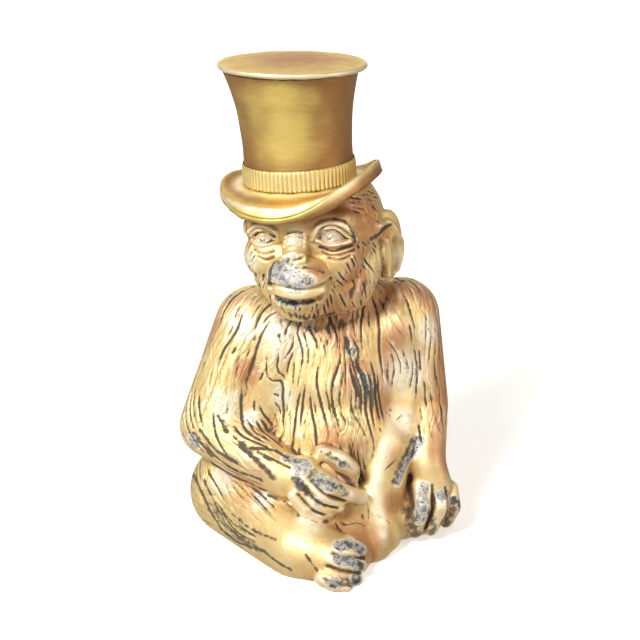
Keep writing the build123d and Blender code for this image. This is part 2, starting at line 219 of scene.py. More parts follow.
def as_object(name, form):
    """Puts a bmesh into the scene as an object, and frees it."""
    mesh = bpy.data.meshes.new(name)
    form.to_mesh(mesh)
    form.free()
    item = bpy.data.objects.new(name, mesh)
    scene.collection.objects.link(item)
    return item


def fired(clay, cutters, rough_grain, fine_grain, polish):
    """Fuses lumps of clay into one skin, takes the shapes of the cutters out of it, and smooths it."""
    lump = as_object("clay", clay)
    knives = [as_object("knife", cutter) for cutter in cutters]
    fuse = lump.modifiers.new("fuse", "REMESH")
    fuse.mode = "VOXEL"
    fuse.voxel_size = rough_grain * mm
    for knife in knives:
        cut = lump.modifiers.new("cut", "BOOLEAN")
        cut.operation = "DIFFERENCE"
        cut.object = knife
        cut.solver = "EXACT"
    skin = lump.modifiers.new("skin", "REMESH")
    skin.mode = "VOXEL"
    skin.voxel_size = fine_grain * mm
    soften = lump.modifiers.new("soften", "SMOOTH")
    soften.factor = 0.5
    soften.iterations = polish
    view = bpy.context.evaluated_depsgraph_get()
    mesh = bpy.data.meshes.new_from_object(lump.evaluated_get(view))
    bpy.data.objects.remove(lump)
    for knife in knives:
        bpy.data.objects.remove(knife)
    return mesh


body_clay = bmesh.new()
trunk_lump = bmesh.new()
for height, half_width, half_depth in trunk_rings:
    place = Matrix.Translation(Vector((trunk_x, trunk_y, height)) * mm)
    oval = Matrix.Diagonal((half_width * mm, half_depth * mm, 1, 1))
    bmesh.ops.create_circle(trunk_lump, segments=trunk_steps, radius=1.0, matrix=place @ oval)
add_wrapped(body_clay, trunk_lump)
belly_middle = (3.0, -8.0, 32.0)
belly_half = (24.0, 21.0, 22.0)
add_egg(body_clay, belly_middle, belly_half)
lap_middle = seen(339, 472, -29.6)
add_egg(body_clay, lap_middle, (7.0, 4.6, 6.0))
nape = ((trunk_x, 10.0, 66.0), 23.0, (trunk_x, 14.0, 84.0), 8.5)
add_limb(body_clay, *nape)
for limbs in [*castings.values(), *webs.values()]:
    for limb in limbs:
        add_limb(body_clay, *limb)

# The underside is ground flat, with a recess for the plate and its felt.
plate_low, plate_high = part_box("base_plate")
recess_gap = 0.4
recess_depth = plate_high.z + recess_gap * mm
floor_block = 0.2
body_cutter = bmesh.new()
bmesh.ops.create_cube(body_cutter, size=floor_block, matrix=Matrix.Translation((0, 0, -floor_block / 2)))
plate_middle = (plate_low + plate_high) / 2
plate_half = (plate_high - plate_low) / 2 + Vector((1, 1, 0)) * recess_gap * mm
recess_place = Matrix.Translation((plate_middle.x, plate_middle.y, (recess_depth - 0.01) / 2))
recess_size = Matrix.Diagonal((plate_half.x, plate_half.y, 1, 1))
bmesh.ops.create_cone(
    body_cutter, cap_ends=True, segments=96, radius1=1.0, radius2=1.0, depth=recess_depth + 0.01,
    matrix=recess_place @ recess_size,
)
body_grain = 0.43
body_mesh = fired(body_clay, [body_cutter], 0.6, body_grain, 4)


def curve_through(corners, steps=5):
    """Points along a smooth curve through some corners."""
    corners = [np.array(corner, float) for corner in corners]
    if len(corners) < 3:
        return corners
    ends = [2 * corners[0] - corners[1]] + corners + [2 * corners[-1] - corners[-2]]
    found = []
    for before, start, end, after in zip(ends, ends[1:], ends[2:], ends[3:]):
        for step in range(steps):
            t = step / steps
            bend = 2 * before - 5 * start + 4 * end - after
            twist = 3 * start - before - 3 * end + after
            found.append((2 * start + (end - before) * t + bend * t * t + twist * t ** 3) / 2)
    return found + [corners[-1]]


class Skin:
    """A mesh being tooled: its points and normals in millimetres, and what is known at each point."""

    def __init__(self, mesh):
        self.mesh = mesh
        count = len(mesh.vertices)
        self.points = np.zeros(count * 3)
        mesh.vertices.foreach_get("co", self.points)
        self.points = self.points.reshape(-1, 3) / mm
        edges = np.zeros(len(mesh.edges) * 2, int)
        mesh.edges.foreach_get("vertices", edges)
        self.edges = edges.reshape(-1, 2)
        self.reach = np.bincount(self.edges.ravel(), minlength=count).clip(1)
        self.marks = {}
        self.settle()

    def settle(self):
        """Writes the points back to the mesh and works out the normals and the search tree again."""
        self.mesh.vertices.foreach_set("co", (self.points * mm).ravel())
        self.mesh.update()
        self.normals = np.zeros(self.points.size)
        self.mesh.vertex_normals.foreach_get("vector", self.normals)
        self.normals = self.normals.reshape(-1, 3)
        faces = [tuple(face.vertices) for face in self.mesh.polygons]
        self.faces = faces
        self.tree = BVHTree.FromPolygons(self.points.tolist(), faces)

    def spread(self, values, rounds):
        """Evens out values over the surface by averaging each point with its neighbours."""
        values = np.array(values, float)
        flat = values.reshape(len(values), -1)
        first, second = self.edges.T
        for _ in range(rounds):
            total = np.empty_like(flat)
            for column in range(flat.shape[1]):
                sums = np.bincount(first, flat[second, column], len(flat))
                sums += np.bincount(second, flat[first, column], len(flat))
                total[:, column] = sums / self.reach
            flat = (flat + total) / 2
        return flat.reshape(values.shape)

    def under(self, across, down):
        """The point of the surface that the picture shows at a point given in its pixels."""
        hit = self.tree.ray_cast(camera_place / mm, sight_line(across, down).normalized())
        if hit[0] is None:
            near = seen(across, down, float(np.median(self.points[:, 1])))
            return np.array(self.tree.find_nearest(near)[0])
        return np.array(hit[0])

    def drawn(self, picture_points):
        """A smooth line on the surface through points of the picture."""
        return np.array([self.under(across, down) for across, down in curve_through(picture_points)])

    def away(self, path, reach):
        """Each point's distance from a line of points, worked out only within reach of it."""
        best = np.full(len(self.points), np.inf)
        close = (self.points > path.min(0) - reach).all(1) & (self.points < path.max(0) + reach).all(1)
        points = self.points[close]
        nearest = np.linalg.norm(points - path[0], axis=1)
        for start, end in zip(path, path[1:]):
            run = end - start
            share = ((points - start) @ run / max(run @ run, 1e-9)).clip(0, 1)
            gap = np.linalg.norm(points - start - share[:, None] * run, axis=1)
            nearest = np.minimum(nearest, gap)
        best[close] = nearest
        return best

    def push(self, path, width, height):
        """Raises the surface by height along a line, or lowers it where height is negative."""
        near = (self.away(path, width) / width).clip(0, 1)
        self.points += self.normals * (height * (1 - near * near) ** 2)[:, None]


body = Skin(body_mesh)
digit_limbs = []
palm_limbs = []
for limbs in castings.values():
    palm_limbs.append(limbs[2])
    digit_limbs += [limb for limb in limbs[3:] if limb[1] <= toe_radius]


def limb_gap(points, limbs):
    """Each point's distance from the nearest of some limbs, less than nothing inside them."""
    best = np.full(len(points), np.inf)
    for start, start_radius, end, end_radius in limbs:
        start = np.array(start)
        run = np.array(end) - start
        share = ((points - start) @ run / (run @ run)).clip(0, 1)
        gap = np.linalg.norm(points - start - share[:, None] * run, axis=1)
        best = np.minimum(best, gap - start_radius - share * (end_radius - start_radius))
    return best


def limb_flow(points, limbs, blend):
    """The way along the nearest limbs at each point."""
    flow = np.zeros_like(points)
    for start, start_radius, end, end_radius in limbs:
        start = np.array(start)
        run = np.array(end) - start
        share = ((points - start) @ run / (run @ run)).clip(0, 1)
        gap = np.linalg.norm(points - start - share[:, None] * run, axis=1)
        gap -= start_radius + share * (end_radius - start_radius)
        weight = np.exp(-gap.clip(0) / blend)
        flow += weight[:, None] * run / np.linalg.norm(run)
    return flow


# The clay is smoothed by thumb between the masses, and less about the fingers and toes.
from_digits = (limb_gap(body.points, digit_limbs) / 3.0).clip(0, 1)[:, None]
body.points += (body.spread(body.points, 36) - body.points) * from_digits
body.points[:, 2] = body.points[:, 2].clip(0)
body.settle()
digit_gaps = (
    ((325, 469), (340, 475), (352, 482)),
    ((312, 481), (327, 495), (346, 502)),
    ((305, 488), (320, 504), (338, 509)),
    ((298, 495), (312, 510), (325, 516)),
    ((333, 553), (348, 556), (365, 558)),
    ((327, 566), (343, 571), (361, 573)),
    ((324, 579), (338, 584), (352, 585)),
    ((432, 486), (433, 508), (424, 532)),
    ((446, 488), (448, 508), (441, 524)),
)
for line in digit_gaps:
    body.push(body.drawn(line), 0.9, -0.9)
shin_ridge = ((392, 428), (384, 455), (377, 482), (377, 505), (384, 532))
body.push(body.drawn(shin_ridge), 6.0, 0.7)
body.settle()

# Which casting each point belongs to: the one whose form is nearest.
casting_names = ["trunk"] + list(castings)
heights = [ring[0] for ring in trunk_rings]
wide = np.interp(body.points[:, 2], heights, [ring[1] for ring in trunk_rings])
deep = np.interp(body.points[:, 2], heights, [ring[2] for ring in trunk_rings])
trunk_share = np.hypot((body.points[:, 0] - trunk_x) / wide, (body.points[:, 1] - trunk_y) / deep)
trunk_gap = np.abs(trunk_share - 1) * np.minimum(wide, deep)
trunk_gap = np.where(body.points[:, 2] > heights[-1] - 1, 0, trunk_gap)
belly_share = np.linalg.norm((body.points - np.array(belly_middle)) / np.array(belly_half), axis=1)
trunk_gap = np.minimum(trunk_gap, np.abs(belly_share - 1) * min(belly_half))
trunk_gap = np.minimum(trunk_gap, np.abs(limb_gap(body.points, webs["trunk"])))
trunk_gap = np.minimum(trunk_gap, np.abs(limb_gap(body.points, [nape])))
gaps = [trunk_gap] + [np.abs(limb_gap(body.points, castings[name] + webs[name])) for name in castings]
owner = np.argmin(np.array(gaps), axis=0)
share_of = np.zeros((len(owner), len(casting_names)))
share_of[np.arange(len(owner)), owner] = 1
owner = np.argmax(body.spread(share_of, 24), axis=1)

# Fur: grooves cut with a chisel, long and wavy on the chest, shorter on the arms, shallow on the worn legs.
# Hands and feet are left smooth.
flow = np.zeros_like(body.points)
for index, name in enumerate(casting_names):
    mine = owner == index
    if name == "trunk":
        flow[mine] = (0, 0, -1)
    else:
        flow[mine] = limb_flow(body.points[mine], castings[name][:3], 5.0)
flow = body.spread(flow, 30)


def waver(points, size, amount, seed):
    """A slow, seeded wandering of direction."""
    offset = Vector((seed * 7.3, seed * 3.1, seed * 5.7))
    return np.array([noise.noise_vector(Vector(point) / size + offset) for point in points]) * amount


def lie_flat(flow, normals):
    """Turns directions into the surface and gives them unit length."""
    flow = flow - normals * (flow * normals).sum(1)[:, None]
    return flow / np.linalg.norm(flow, axis=1).clip(1e-6)[:, None]


flow = lie_flat(flow + waver(body.points, 9.0, 0.55, 1), body.normals)


def comb(skin, flow, spacing, longest, stride, seed):
    """Draws hair lines along the flow, evenly spaced, and returns their points, ways and taper."""
    dice = random.Random(seed)
    cell = spacing.max()
    taken = {}
    lines = []

    def crowded(place, limit):
        base = [int(math.floor(value / cell)) for value in place]
        for i in (-1, 0, 1):
            for j in (-1, 0, 1):
                for k in (-1, 0, 1):
                    for other in taken.get((base[0] + i, base[1] + j, base[2] + k), ()):
                        if (other - place).length_squared < limit * limit:
                            return True
        return False

    def run(start, way, reach):
        trail = []
        place = Vector(start)
        walked = 0.0
        while walked < reach:
            found, normal, face, gap = skin.tree.find_nearest(place)
            corner = skin.faces[face][0]
            if spacing[corner] <= 0 or crowded(found, spacing[corner] * 0.55):
                break
            direction = Vector(flow[corner]) * way
            trail.append((found, Vector(flow[corner])))
            place = found + direction * stride
            walked += stride
        return trail

    order = np.flatnonzero(spacing > 0).tolist()
    dice.shuffle(order)
    for index in order:
        start = Vector(skin.points[index])
        if crowded(start, spacing[index]):
            continue
        reach = longest[index] * dice.uniform(0.45, 1.0) / 2
        trail = run(start, -1, reach)[::-1] + run(start, 1, reach)[1:]
        if len(trail) < 4:
            continue
        for place, _ in trail:
            key = tuple(int(math.floor(value / cell)) for value in place)
            taken.setdefault(key, []).append(place)
        lines.append(trail)
    places = np.array([place for trail in lines for place, _ in trail])
    ways = np.array([way for trail in lines for _, way in trail])
    taper = []
    for trail in lines:
        strength = dice.uniform(0.15, 1.0)
        for step in range(len(trail)):
            share = step / (len(trail) - 1)
            taper.append(min(1.0, share * 4 + 0.2, (1 - share) * 2.5 + 0.05) * strength)
    return places, ways, np.array(taper)


def chisel(skin, places, ways, taper, width, depth):
    """Cuts the hair lines into the skin and returns how far each point lies in a cut."""
    finder = KDTree(len(places))
    for index, place in enumerate(places):
        finder.insert(place, index)
    finder.balance()
    nearest = np.array([finder.find(point)[1] for point in skin.points.tolist()])
    gap = skin.points - places[nearest]
    along = (gap * ways[nearest]).sum(1)
    sideways = np.linalg.norm(gap - along[:, None] * ways[nearest], axis=1)
    beyond = (np.abs(along) - 0.5).clip(0)
    near = (np.hypot(sideways, beyond) / width).clip(0, 1)
    cut = (1 - near * near) ** 2 * taper[nearest]
    skin.points -= skin.normals * (cut * depth)[:, None]
    return cut


bare = np.minimum(limb_gap(body.points, digit_limbs), limb_gap(body.points, palm_limbs))
hairy = (bare / 5.0).clip(0, 1)


def painted(skin, strokes):
    """How strongly strokes of the picture mark each point; a stroke has a line, a half width and a strength."""
    level = np.zeros(len(skin.points))
    for line, width, strength in strokes:
        near = (skin.away(skin.drawn(line), width) / width).clip(0, 1)
        level = np.maximum(level, strength * (1 - near * near) ** 2)
    return level


def spots(places):
    """Round strokes of full strength, each from a place in the picture and a radius."""
    return [([(across, down)], radius, 1.0) for across, down, radius in places]


smooth_places = (
    (262, 392, 6.0), (345, 468, 9.0), (395, 440, 9.0), (348, 505, 9.0), (392, 400, 6.0),
)
hairy *= 1 - (painted(body, spots(smooth_places)) * 1.6).clip(0, 1)
spacing_of = {"trunk": 1.6, "right_arm": 1.8, "left_arm": 1.8, "right_leg": 2.0, "left_leg": 3.0}
depth_of = {"trunk": 0.6, "right_arm": 0.5, "left_arm": 0.4, "right_leg": 0.42, "left_leg": 0.0}
length_of = {"trunk": 46.0, "right_arm": 34.0, "left_arm": 34.0, "right_leg": 34.0, "left_leg": 12.0}
strands_of = {"trunk": 1.0, "right_arm": 0.9, "left_arm": 0.9, "right_leg": 0.55, "left_leg": 0.05}


def by_casting(values):
    """A value for each point from the casting it belongs to."""
    return np.array([values[name] for name in casting_names])[owner]


hair_spacing = np.where((hairy > 0.15) & (body.points[:, 2] > 1.5), by_casting(spacing_of), 0)
hair_depth = body.spread(by_casting(depth_of) * hairy, 10)
hair_lines = comb(body, flow, hair_spacing, by_casting(length_of), 0.6, 3)
hair_width = 0.7
body_cut = chisel(body, *hair_lines, hair_width, hair_depth)
body.settle()


def strand_grid(points, limbs, aside):
    """Where points lie among the strands of limbs, across and along them, and the number of the limb."""
    best = np.full(len(points), np.inf)
    grid = np.zeros((len(points), 2))
    nearest = np.zeros(len(points))
    walked = 0.0
    for turn, (start, start_radius, end, end_radius) in enumerate(limbs):
        run = np.array(end) - np.array(start)
        length = np.linalg.norm(run)
        way = run / length
        side = np.cross(way, aside)
        side /= np.linalg.norm(side)
        top = np.cross(side, way)
        offset = points - np.array(start)
        along = offset @ way
        share = (along / length).clip(0, 1)
        gap = np.linalg.norm(offset - (share * length)[:, None] * way, axis=1)
        gap -= start_radius + share * (end_radius - start_radius)
        around = np.arctan2(offset @ side, offset @ top) * (start_radius + end_radius) / 2
        closer = gap < best
        best[closer] = gap[closer]
        grid[closer] = np.stack((around, walked + along), axis=1)[closer]
        nearest[closer] = turn
        walked += length
    return grid, nearest


def write_strands(skin, grid, amount, breaks):
    """Stores the strand grid on the mesh, with how much hair there is as the third value, less near breaks."""
    amount = amount * (1 - (skin.spread(breaks.astype(float), 5) * 2.5).clip(0, 1))
    layer = skin.mesh.attributes.new("strand", "FLOAT_VECTOR", "POINT")
    values = np.column_stack((grid, amount)).astype(np.float32)
    layer.data.foreach_set("vector", values.ravel())


away_from_trunk = {
    "right_arm": (0.5, 0.6, 0.6), "left_arm": (-0.8, 0.5, 0.3),
    "right_leg": (0.3, 0.6, -0.7), "left_leg": (-0.3, 0.6, -0.7),
}
trunk_radius = 30.0
trunk_angle = np.arctan2(body.points[:, 0] - trunk_x, trunk_y - body.points[:, 1])
body_grid = np.stack((trunk_angle * trunk_radius, body.points[:, 2]), axis=1)
limb_number = owner * 10.0
for index, name in enumerate(casting_names[1:], 1):
    mine = owner == index
    limb_grid, nearest = strand_grid(body.points[mine], castings[name][:3], np.array(away_from_trunk[name]))
    body_grid[mine] = limb_grid
    limb_number[mine] += nearest
back_seam = 0.03
body_breaks = np.abs(body.spread(limb_number, 1) - limb_number) > 0.01
body_breaks |= (owner == 0) & (np.abs(trunk_angle) > math.pi - back_seam)
write_strands(body, body_grid, body.spread(by_casting(strands_of) * hairy, 10), body_breaks)


def weathered_and_shaded(skin, cut, soot_and_shadow, rubbed_strokes, pale_strokes, brown_strokes, fine, basin_share):
    """Marks dirt in cuts and dark strokes with painted shade in hollows, gilding worn thin or off on high places with
    painted highlight on the pale strokes, and tarnished brown with painted shade on the brown strokes and in broad
    basins.
    """
    # Painted shade: hollows and broad basins, found against the smoothed skin, are darkened like ambient occlusion,
    # the hollows with the dark patina colour and the basins with tarnished brown.
    near_mean = skin.spread(skin.points, fine)
    far_mean = skin.spread(near_mean, 90)
    hollow = ((near_mean - skin.points) * skin.normals).sum(1)
    basin = ((far_mean - skin.points) * skin.normals).sum(1)
    grime_and_shade = np.maximum((cut + (hollow / 0.4).clip(0, 1) * 0.7), soot_and_shadow).clip(0, 1)
    high = (-hollow / 0.4).clip(0, 1)
    rubbed_and_lit = np.maximum(high * 0.35, painted(skin, pale_strokes) * 0.4)
    rubbed_and_lit = np.maximum(rubbed_and_lit, painted(skin, rubbed_strokes) * (1.2 + high * 0.3))
    tarnish_and_shade = np.maximum(painted(skin, brown_strokes) * 0.75, (basin / 1.6).clip(0, 1) * basin_share)
    for name, values in (("grime_and_shade", grime_and_shade), ("rubbed_and_lit", rubbed_and_lit), ("tarnish_and_shade", tarnish_and_shade)):
        layer = skin.mesh.attributes.new(name, "FLOAT", "POINT")
        layer.data.foreach_set("value", values.astype(np.float32))


rubbed_body = spots((
    (301, 466, 5.0), (288, 457, 3.0), (300, 483, 2.6), (318, 501, 2.4), (342, 465, 2.4), (194, 442, 4.0),
    (441, 496, 3.0), (453, 500, 2.8), (356, 579, 3.4), (334, 583, 3.0), (352, 352, 2.4),
)) + [
    (((419, 440), (409, 458), (398, 481)), 3.0, 0.95), (((340, 546), (349, 544), (361, 550)), 3.4, 1.0),
    (((338, 559), (350, 561), (362, 567)), 2.8, 0.95), (((317, 480), (332, 488)), 3.0, 1.0),
    (((424, 488), (422, 502), (420, 518)), 3.2, 1.0), (((362, 376), (368, 392)), 2.2, 0.9),
    (((286, 459), (306, 465)), 2.4, 0.9),
]
# Pale spots and the shin ridge: painted highlight where the key light falls fullest, on the chest, the arms, the lap
# and the shin, over gilding worn paler.
pale_body = spots((
    (285, 335, 15.0), (225, 405, 9.0), (250, 420, 6.0), (222, 478, 9.0), (310, 523, 8.0), (262, 500, 6.0),
    (407, 372, 14.0), (403, 420, 9.0), (240, 325, 9.0), (282, 395, 8.0), (430, 330, 9.0),
)) + [(shin_ridge, 4.0, 0.9)]
# Brown spots and strokes: painted shade under the chin and jaw, in the armpit, down the shaded outer edges of the
# arms and the right thigh, and in hollows between the masses.
brown_body = spots((
    (345, 330, 10.0), (356, 455, 7.0), (378, 302, 10.0), (398, 292, 8.0), (200, 528, 10.0), (235, 552, 10.0),
    (392, 505, 6.0), (247, 372, 6.0), (446, 460, 8.0), (366, 545, 9.0), (198, 330, 10.0), (330, 440, 9.0),
    (352, 380, 9.0), (188, 470, 9.0),
)) + [
    (((395, 334), (388, 360), (384, 390), (381, 411)), 5.5, 1.0),
    (((423, 292), (435, 313), (441, 348), (442, 383), (440, 421), (437, 453)), 6.0, 1.0),
    (((285, 320), (308, 327), (339, 325), (360, 316), (390, 297)), 6.0, 1.0),
]
# Painted shade: the cut lines are darkened more towards the shaded right middle of the chest; along the right forearm
# they are darker where its dark worn patches lie.
dark_middle = body.under(355, 392)
dark_chest = np.exp(-(np.linalg.norm(body.points - dark_middle, axis=1) / 17.0) ** 2)
forearm_line = body.drawn(((200, 440), (250, 458), (300, 475)))
dark_forearm = np.exp(-(body.away(forearm_line, 15.0) / 6.0) ** 2)
cut_soot_and_shade = 0.6 + 0.6 * np.maximum(dark_chest, dark_forearm)
# Dark strokes: dirt between the fingers and toes and in worn patches, and painted shadow under the chin, below the
# thumb and index finger and along the lower edge of the right thigh.
body_strokes = [(line, 1.1, 0.5) for line in digit_gaps] + [
    (((194, 434), (204, 446), (212, 456)), 1.9, 0.65), (((218, 416), (227, 432)), 1.2, 0.75),
    (((200, 430), (216, 450), (236, 462)), 1.3, 0.7), (((242, 446), (256, 460), (274, 478)), 2.2, 0.68),
    (((250, 448), (272, 450), (288, 458)), 1.2, 0.75), (((258, 452), (274, 460), (290, 468)), 1.0, 0.7),
    (((210, 452), (236, 470), (262, 480)), 1.3, 0.65), (((414, 438), (403, 460), (394, 482)), 2.6, 0.6),
    (((312, 474), (330, 482), (345, 492)), 4.4, 0.55), (((322, 452), (338, 459), (352, 468)), 2.8, 0.5),
    (((408, 512), (417, 536)), 6.0, 0.62), (((430, 510), (432, 534)), 4.0, 0.6),
    (((456, 502), (446, 524)), 5.0, 0.6), (((338, 545), (362, 549)), 4.4, 0.5),
    (((336, 560), (362, 566)), 4.0, 0.5), (((330, 584), (358, 582)), 4.4, 0.55),
    (((190, 466), (198, 484), (215, 519), (234, 540), (264, 551)), 1.3, 0.72),
    (((204, 480), (213, 499), (227, 525), (249, 546)), 1.1, 0.66),
    (((232, 514), (251, 529), (276, 540)), 1.1, 0.62), (((264, 551), (276, 561), (291, 570)), 1.3, 0.68),
    (((285, 321), (308, 328), (339, 326), (360, 317)), 3.0, 0.45), (((306, 555), (317, 570)), 1.1, 0.66), (((222, 512), (236, 531), (255, 542)), 0.9, 0.7),
    (((217, 503), (231, 521), (246, 533)), 0.9, 0.62), (((216, 514), (234, 534), (258, 550)), 5.5, 0.5),
    (((352, 345), (364, 390), (352, 420)), 6.0, 0.42),
    (((296, 480), (306, 492)), 3.4, 0.7),
]
weathered_and_shaded(body, body_cut * cut_soot_and_shade, painted(body, body_strokes), rubbed_body, pale_body, brown_body, 40, 0.9)


def link(tree, source, target):
    """Joins two sockets."""
    tree.links.new(source, target)


def number(tree, kind, *values):
    """A math node whose inputs are numbers or sockets; returns its output."""
    step = tree.nodes.new("ShaderNodeMath")
    step.operation = kind
    for socket, value in zip(step.inputs, values):
        if isinstance(value, (int, float)):
            socket.default_value = value
        else:
            link(tree, value, socket)
    return step.outputs[0]


def mixed(tree, share, first, second):
    """A colour between two others, by a share of 0 to 1."""
    blend = tree.nodes.new("ShaderNodeMix")
    blend.data_type = "RGBA"
    for socket, value in ((blend.inputs[0], share), (blend.inputs[6], first), (blend.inputs[7], second)):
        if isinstance(value, (int, float, tuple)):
            socket.default_value = value
        else:
            link(tree, value, socket)
    return blend.outputs[2]


def cloud(tree, place, scale, detail, roughness=0.55):
    """Soft noise of a given scale; returns its value."""
    texture = tree.nodes.new("ShaderNodeTexNoise")
    texture.inputs["Scale"].default_value = scale
    texture.inputs["Detail"].default_value = detail
    texture.inputs["Roughness"].default_value = roughness
    link(tree, place, texture.inputs["Vector"])
    return texture.outputs["Fac"]


def ramp(tree, value, low, high):
    """A value stretched so that low becomes 0 and high becomes 1."""
    stretch = tree.nodes.new("ShaderNodeMapRange")
    stretch.interpolation_type = "SMOOTHSTEP"
    stretch.inputs["From Min"].default_value = low
    stretch.inputs["From Max"].default_value = high
    link(tree, value, stretch.inputs["Value"])
    return stretch.outputs["Result"]


gilding = bpy.data.node_groups.new("aged_gilding_with_painted_light", "ShaderNodeTree")
for label, kind in (("Gold", "NodeSocketColor"), ("Brown", "NodeSocketColor"), ("Bare metal", "NodeSocketColor"),
                    ("Grime and shade", "NodeSocketFloat"), ("Rubbed and lit", "NodeSocketFloat"), ("Tarnish and shade", "NodeSocketFloat"),
                    ("Blotch", "NodeSocketFloat"), ("Mottling", "NodeSocketFloat"), ("Metal", "NodeSocketFloat"),
                    ("Place", "NodeSocketVector")):
    gilding.interface.new_socket(label, in_out="INPUT", socket_type=kind)
for label, kind in (("Color", "NodeSocketColor"), ("Roughness", "NodeSocketFloat"),
                    ("Metallic", "NodeSocketFloat"), ("Height", "NodeSocketFloat")):
    gilding.interface.new_socket(label, in_out="OUTPUT", socket_type=kind)
gild_in = gilding.nodes.new("NodeGroupInput")
gild_out = gilding.nodes.new("NodeGroupOutput")
gild_place = gild_in.outputs["Place"]
# Dark patina colour, used as well for painted shade in creases, hollows and under the chin.
dirt_and_shade_colour = (0.018, 0.012, 0.008, 1.0)
patches = cloud(gilding, gild_place, 70.0, 5.0)
mottle = cloud(gilding, gild_place, 420.0, 4.0)
flecks = cloud(gilding, gild_place, 1500.0, 3.0)
# Pale gold: gilding worn thin, and painted highlight where the pale marks lie.
pale_gold = (0.86, 0.82, 0.68, 1.0)
even_patches = number(gilding, "MULTIPLY_ADD", number(gilding, "SUBTRACT", patches, 0.5),
                      gild_in.outputs["Blotch"], 0.5)
# Browner where tarnished and where brown painted shade lies, broken up by patches.
stain_and_shade = number(gilding, "MULTIPLY_ADD", gild_in.outputs["Tarnish and shade"], 0.75, even_patches)
fine_tone = number(gilding, "MULTIPLY_ADD", flecks, 0.4, number(gilding, "MULTIPLY", mottle, 0.7))
even_tone = number(gilding, "SUBTRACT", fine_tone, 0.55)
speckled = number(gilding, "MULTIPLY_ADD", even_tone, gild_in.outputs["Mottling"], stain_and_shade)
brown_share = ramp(gilding, speckled, 0.3, 1.0)
gold_paint = mixed(gilding, brown_share, gild_in.outputs["Gold"], gild_in.outputs["Brown"])
thin_and_lit_edge = number(gilding, "MULTIPLY_ADD", mottle, 0.35, gild_in.outputs["Rubbed and lit"])
pale_share = number(gilding, "MULTIPLY", ramp(gilding, thin_and_lit_edge, 0.15, 0.8), 0.9)
paint = mixed(gilding, pale_share, gold_paint, pale_gold)
rub_and_lit_edge = number(gilding, "MULTIPLY_ADD", mottle, 0.6, gild_in.outputs["Rubbed and lit"])
worn_zone = ramp(gilding, rub_and_lit_edge, 0.85, 1.2)
grit = cloud(gilding, gild_place, 620.0, 4.0, 0.62)
silver_share = number(gilding, "MULTIPLY", worn_zone, ramp(gilding, grit, 0.38, 0.52))
dull_metal = (0.13, 0.12, 0.12, 1.0)
metal_tone = mixed(gilding, ramp(gilding, mottle, 0.36, 0.6), dull_metal, gild_in.outputs["Bare metal"])
worn = mixed(gilding, silver_share, paint, metal_tone)
grit_share = number(gilding, "MULTIPLY", worn_zone, ramp(gilding, grit, 0.49, 0.36))
rim_zone = number(gilding, "MULTIPLY", ramp(gilding, rub_and_lit_edge, 0.62, 0.85), ramp(gilding, rub_and_lit_edge, 1.15, 0.95))
rim_share = number(gilding, "MULTIPLY", rim_zone, ramp(gilding, grit, 0.62, 0.4))
dirt_and_shade_edge = number(gilding, "MULTIPLY_ADD", grit, 0.9, gild_in.outputs["Grime and shade"])
dirt_and_shade_share = number(gilding, "MAXIMUM", ramp(gilding, dirt_and_shade_edge, 0.7, 1.1), grit_share)
dirt_and_shade_share = number(gilding, "MAXIMUM", dirt_and_shade_share, number(gilding, "MULTIPLY", rim_share, 0.85))
dirt_and_shade_share = number(gilding, "MULTIPLY", dirt_and_shade_share, 0.93)
link(gilding, mixed(gilding, dirt_and_shade_share, worn, dirt_and_shade_colour), gild_out.inputs["Color"])
sheen = number(gilding, "MULTIPLY_ADD", silver_share, 0.12, number(gilding, "MULTIPLY_ADD", mottle, 0.2, 0.42))
link(gilding, number(gilding, "MULTIPLY_ADD", dirt_and_shade_share, 0.3, sheen), gild_out.inputs["Roughness"])
clean_share = number(gilding, "SUBTRACT", 1.0, dirt_and_shade_share)
link(gilding, number(gilding, "MULTIPLY", clean_share, gild_in.outputs["Metal"]), gild_out.inputs["Metallic"])
link(gilding, number(gilding, "MULTIPLY_ADD", flecks, 0.4, mottle), gild_out.inputs["Height"])

# Fine strands between the chiselled lines, long in one way of the strand grid and narrow in the other.
combing = bpy.data.node_groups.new("fine_strands", "ShaderNodeTree")
combing.interface.new_socket("Strand", in_out="INPUT", socket_type="NodeSocketVector")
combing.interface.new_socket("Place", in_out="INPUT", socket_type="NodeSocketVector")
combing.interface.new_socket("Groove", in_out="OUTPUT", socket_type="NodeSocketFloat")
combing.interface.new_socket("Ridge", in_out="OUTPUT", socket_type="NodeSocketFloat")
combing.interface.new_socket("Height", in_out="OUTPUT", socket_type="NodeSocketFloat")
comb_in = combing.nodes.new("NodeGroupInput")
comb_out = combing.nodes.new("NodeGroupOutput")
comb_parts = combing.nodes.new("ShaderNodeSeparateXYZ")
link(combing, comb_in.outputs["Strand"], comb_parts.inputs["Vector"])
sway = number(combing, "MULTIPLY_ADD", cloud(combing, comb_in.outputs["Place"], 80.0, 2.0), 9.0, comb_parts.outputs["X"])
comb_place = combing.nodes.new("ShaderNodeCombineXYZ")
link(combing, number(combing, "MULTIPLY", sway, 0.62), comb_place.inputs["X"])
link(combing, number(combing, "MULTIPLY", comb_parts.outputs["Y"], 0.05), comb_place.inputs["Y"])
strand_height = cloud(combing, comb_place.outputs["Vector"], 1.0, 3.0, 0.6)
hair_amount = comb_parts.outputs["Z"]
link(combing, number(combing, "MULTIPLY", ramp(combing, number(combing, "SUBTRACT", 1.0, strand_height), 0.5, 0.68),
                     hair_amount), comb_out.inputs["Groove"])
link(combing, number(combing, "MULTIPLY", ramp(combing, strand_height, 0.5, 0.68), hair_amount), comb_out.inputs["Ridge"])
even_height = number(combing, "SUBTRACT", strand_height, 0.5)
link(combing, number(combing, "MULTIPLY", even_height, hair_amount), comb_out.inputs["Height"])


bare_metal = (0.31, 0.31, 0.33, 1.0)


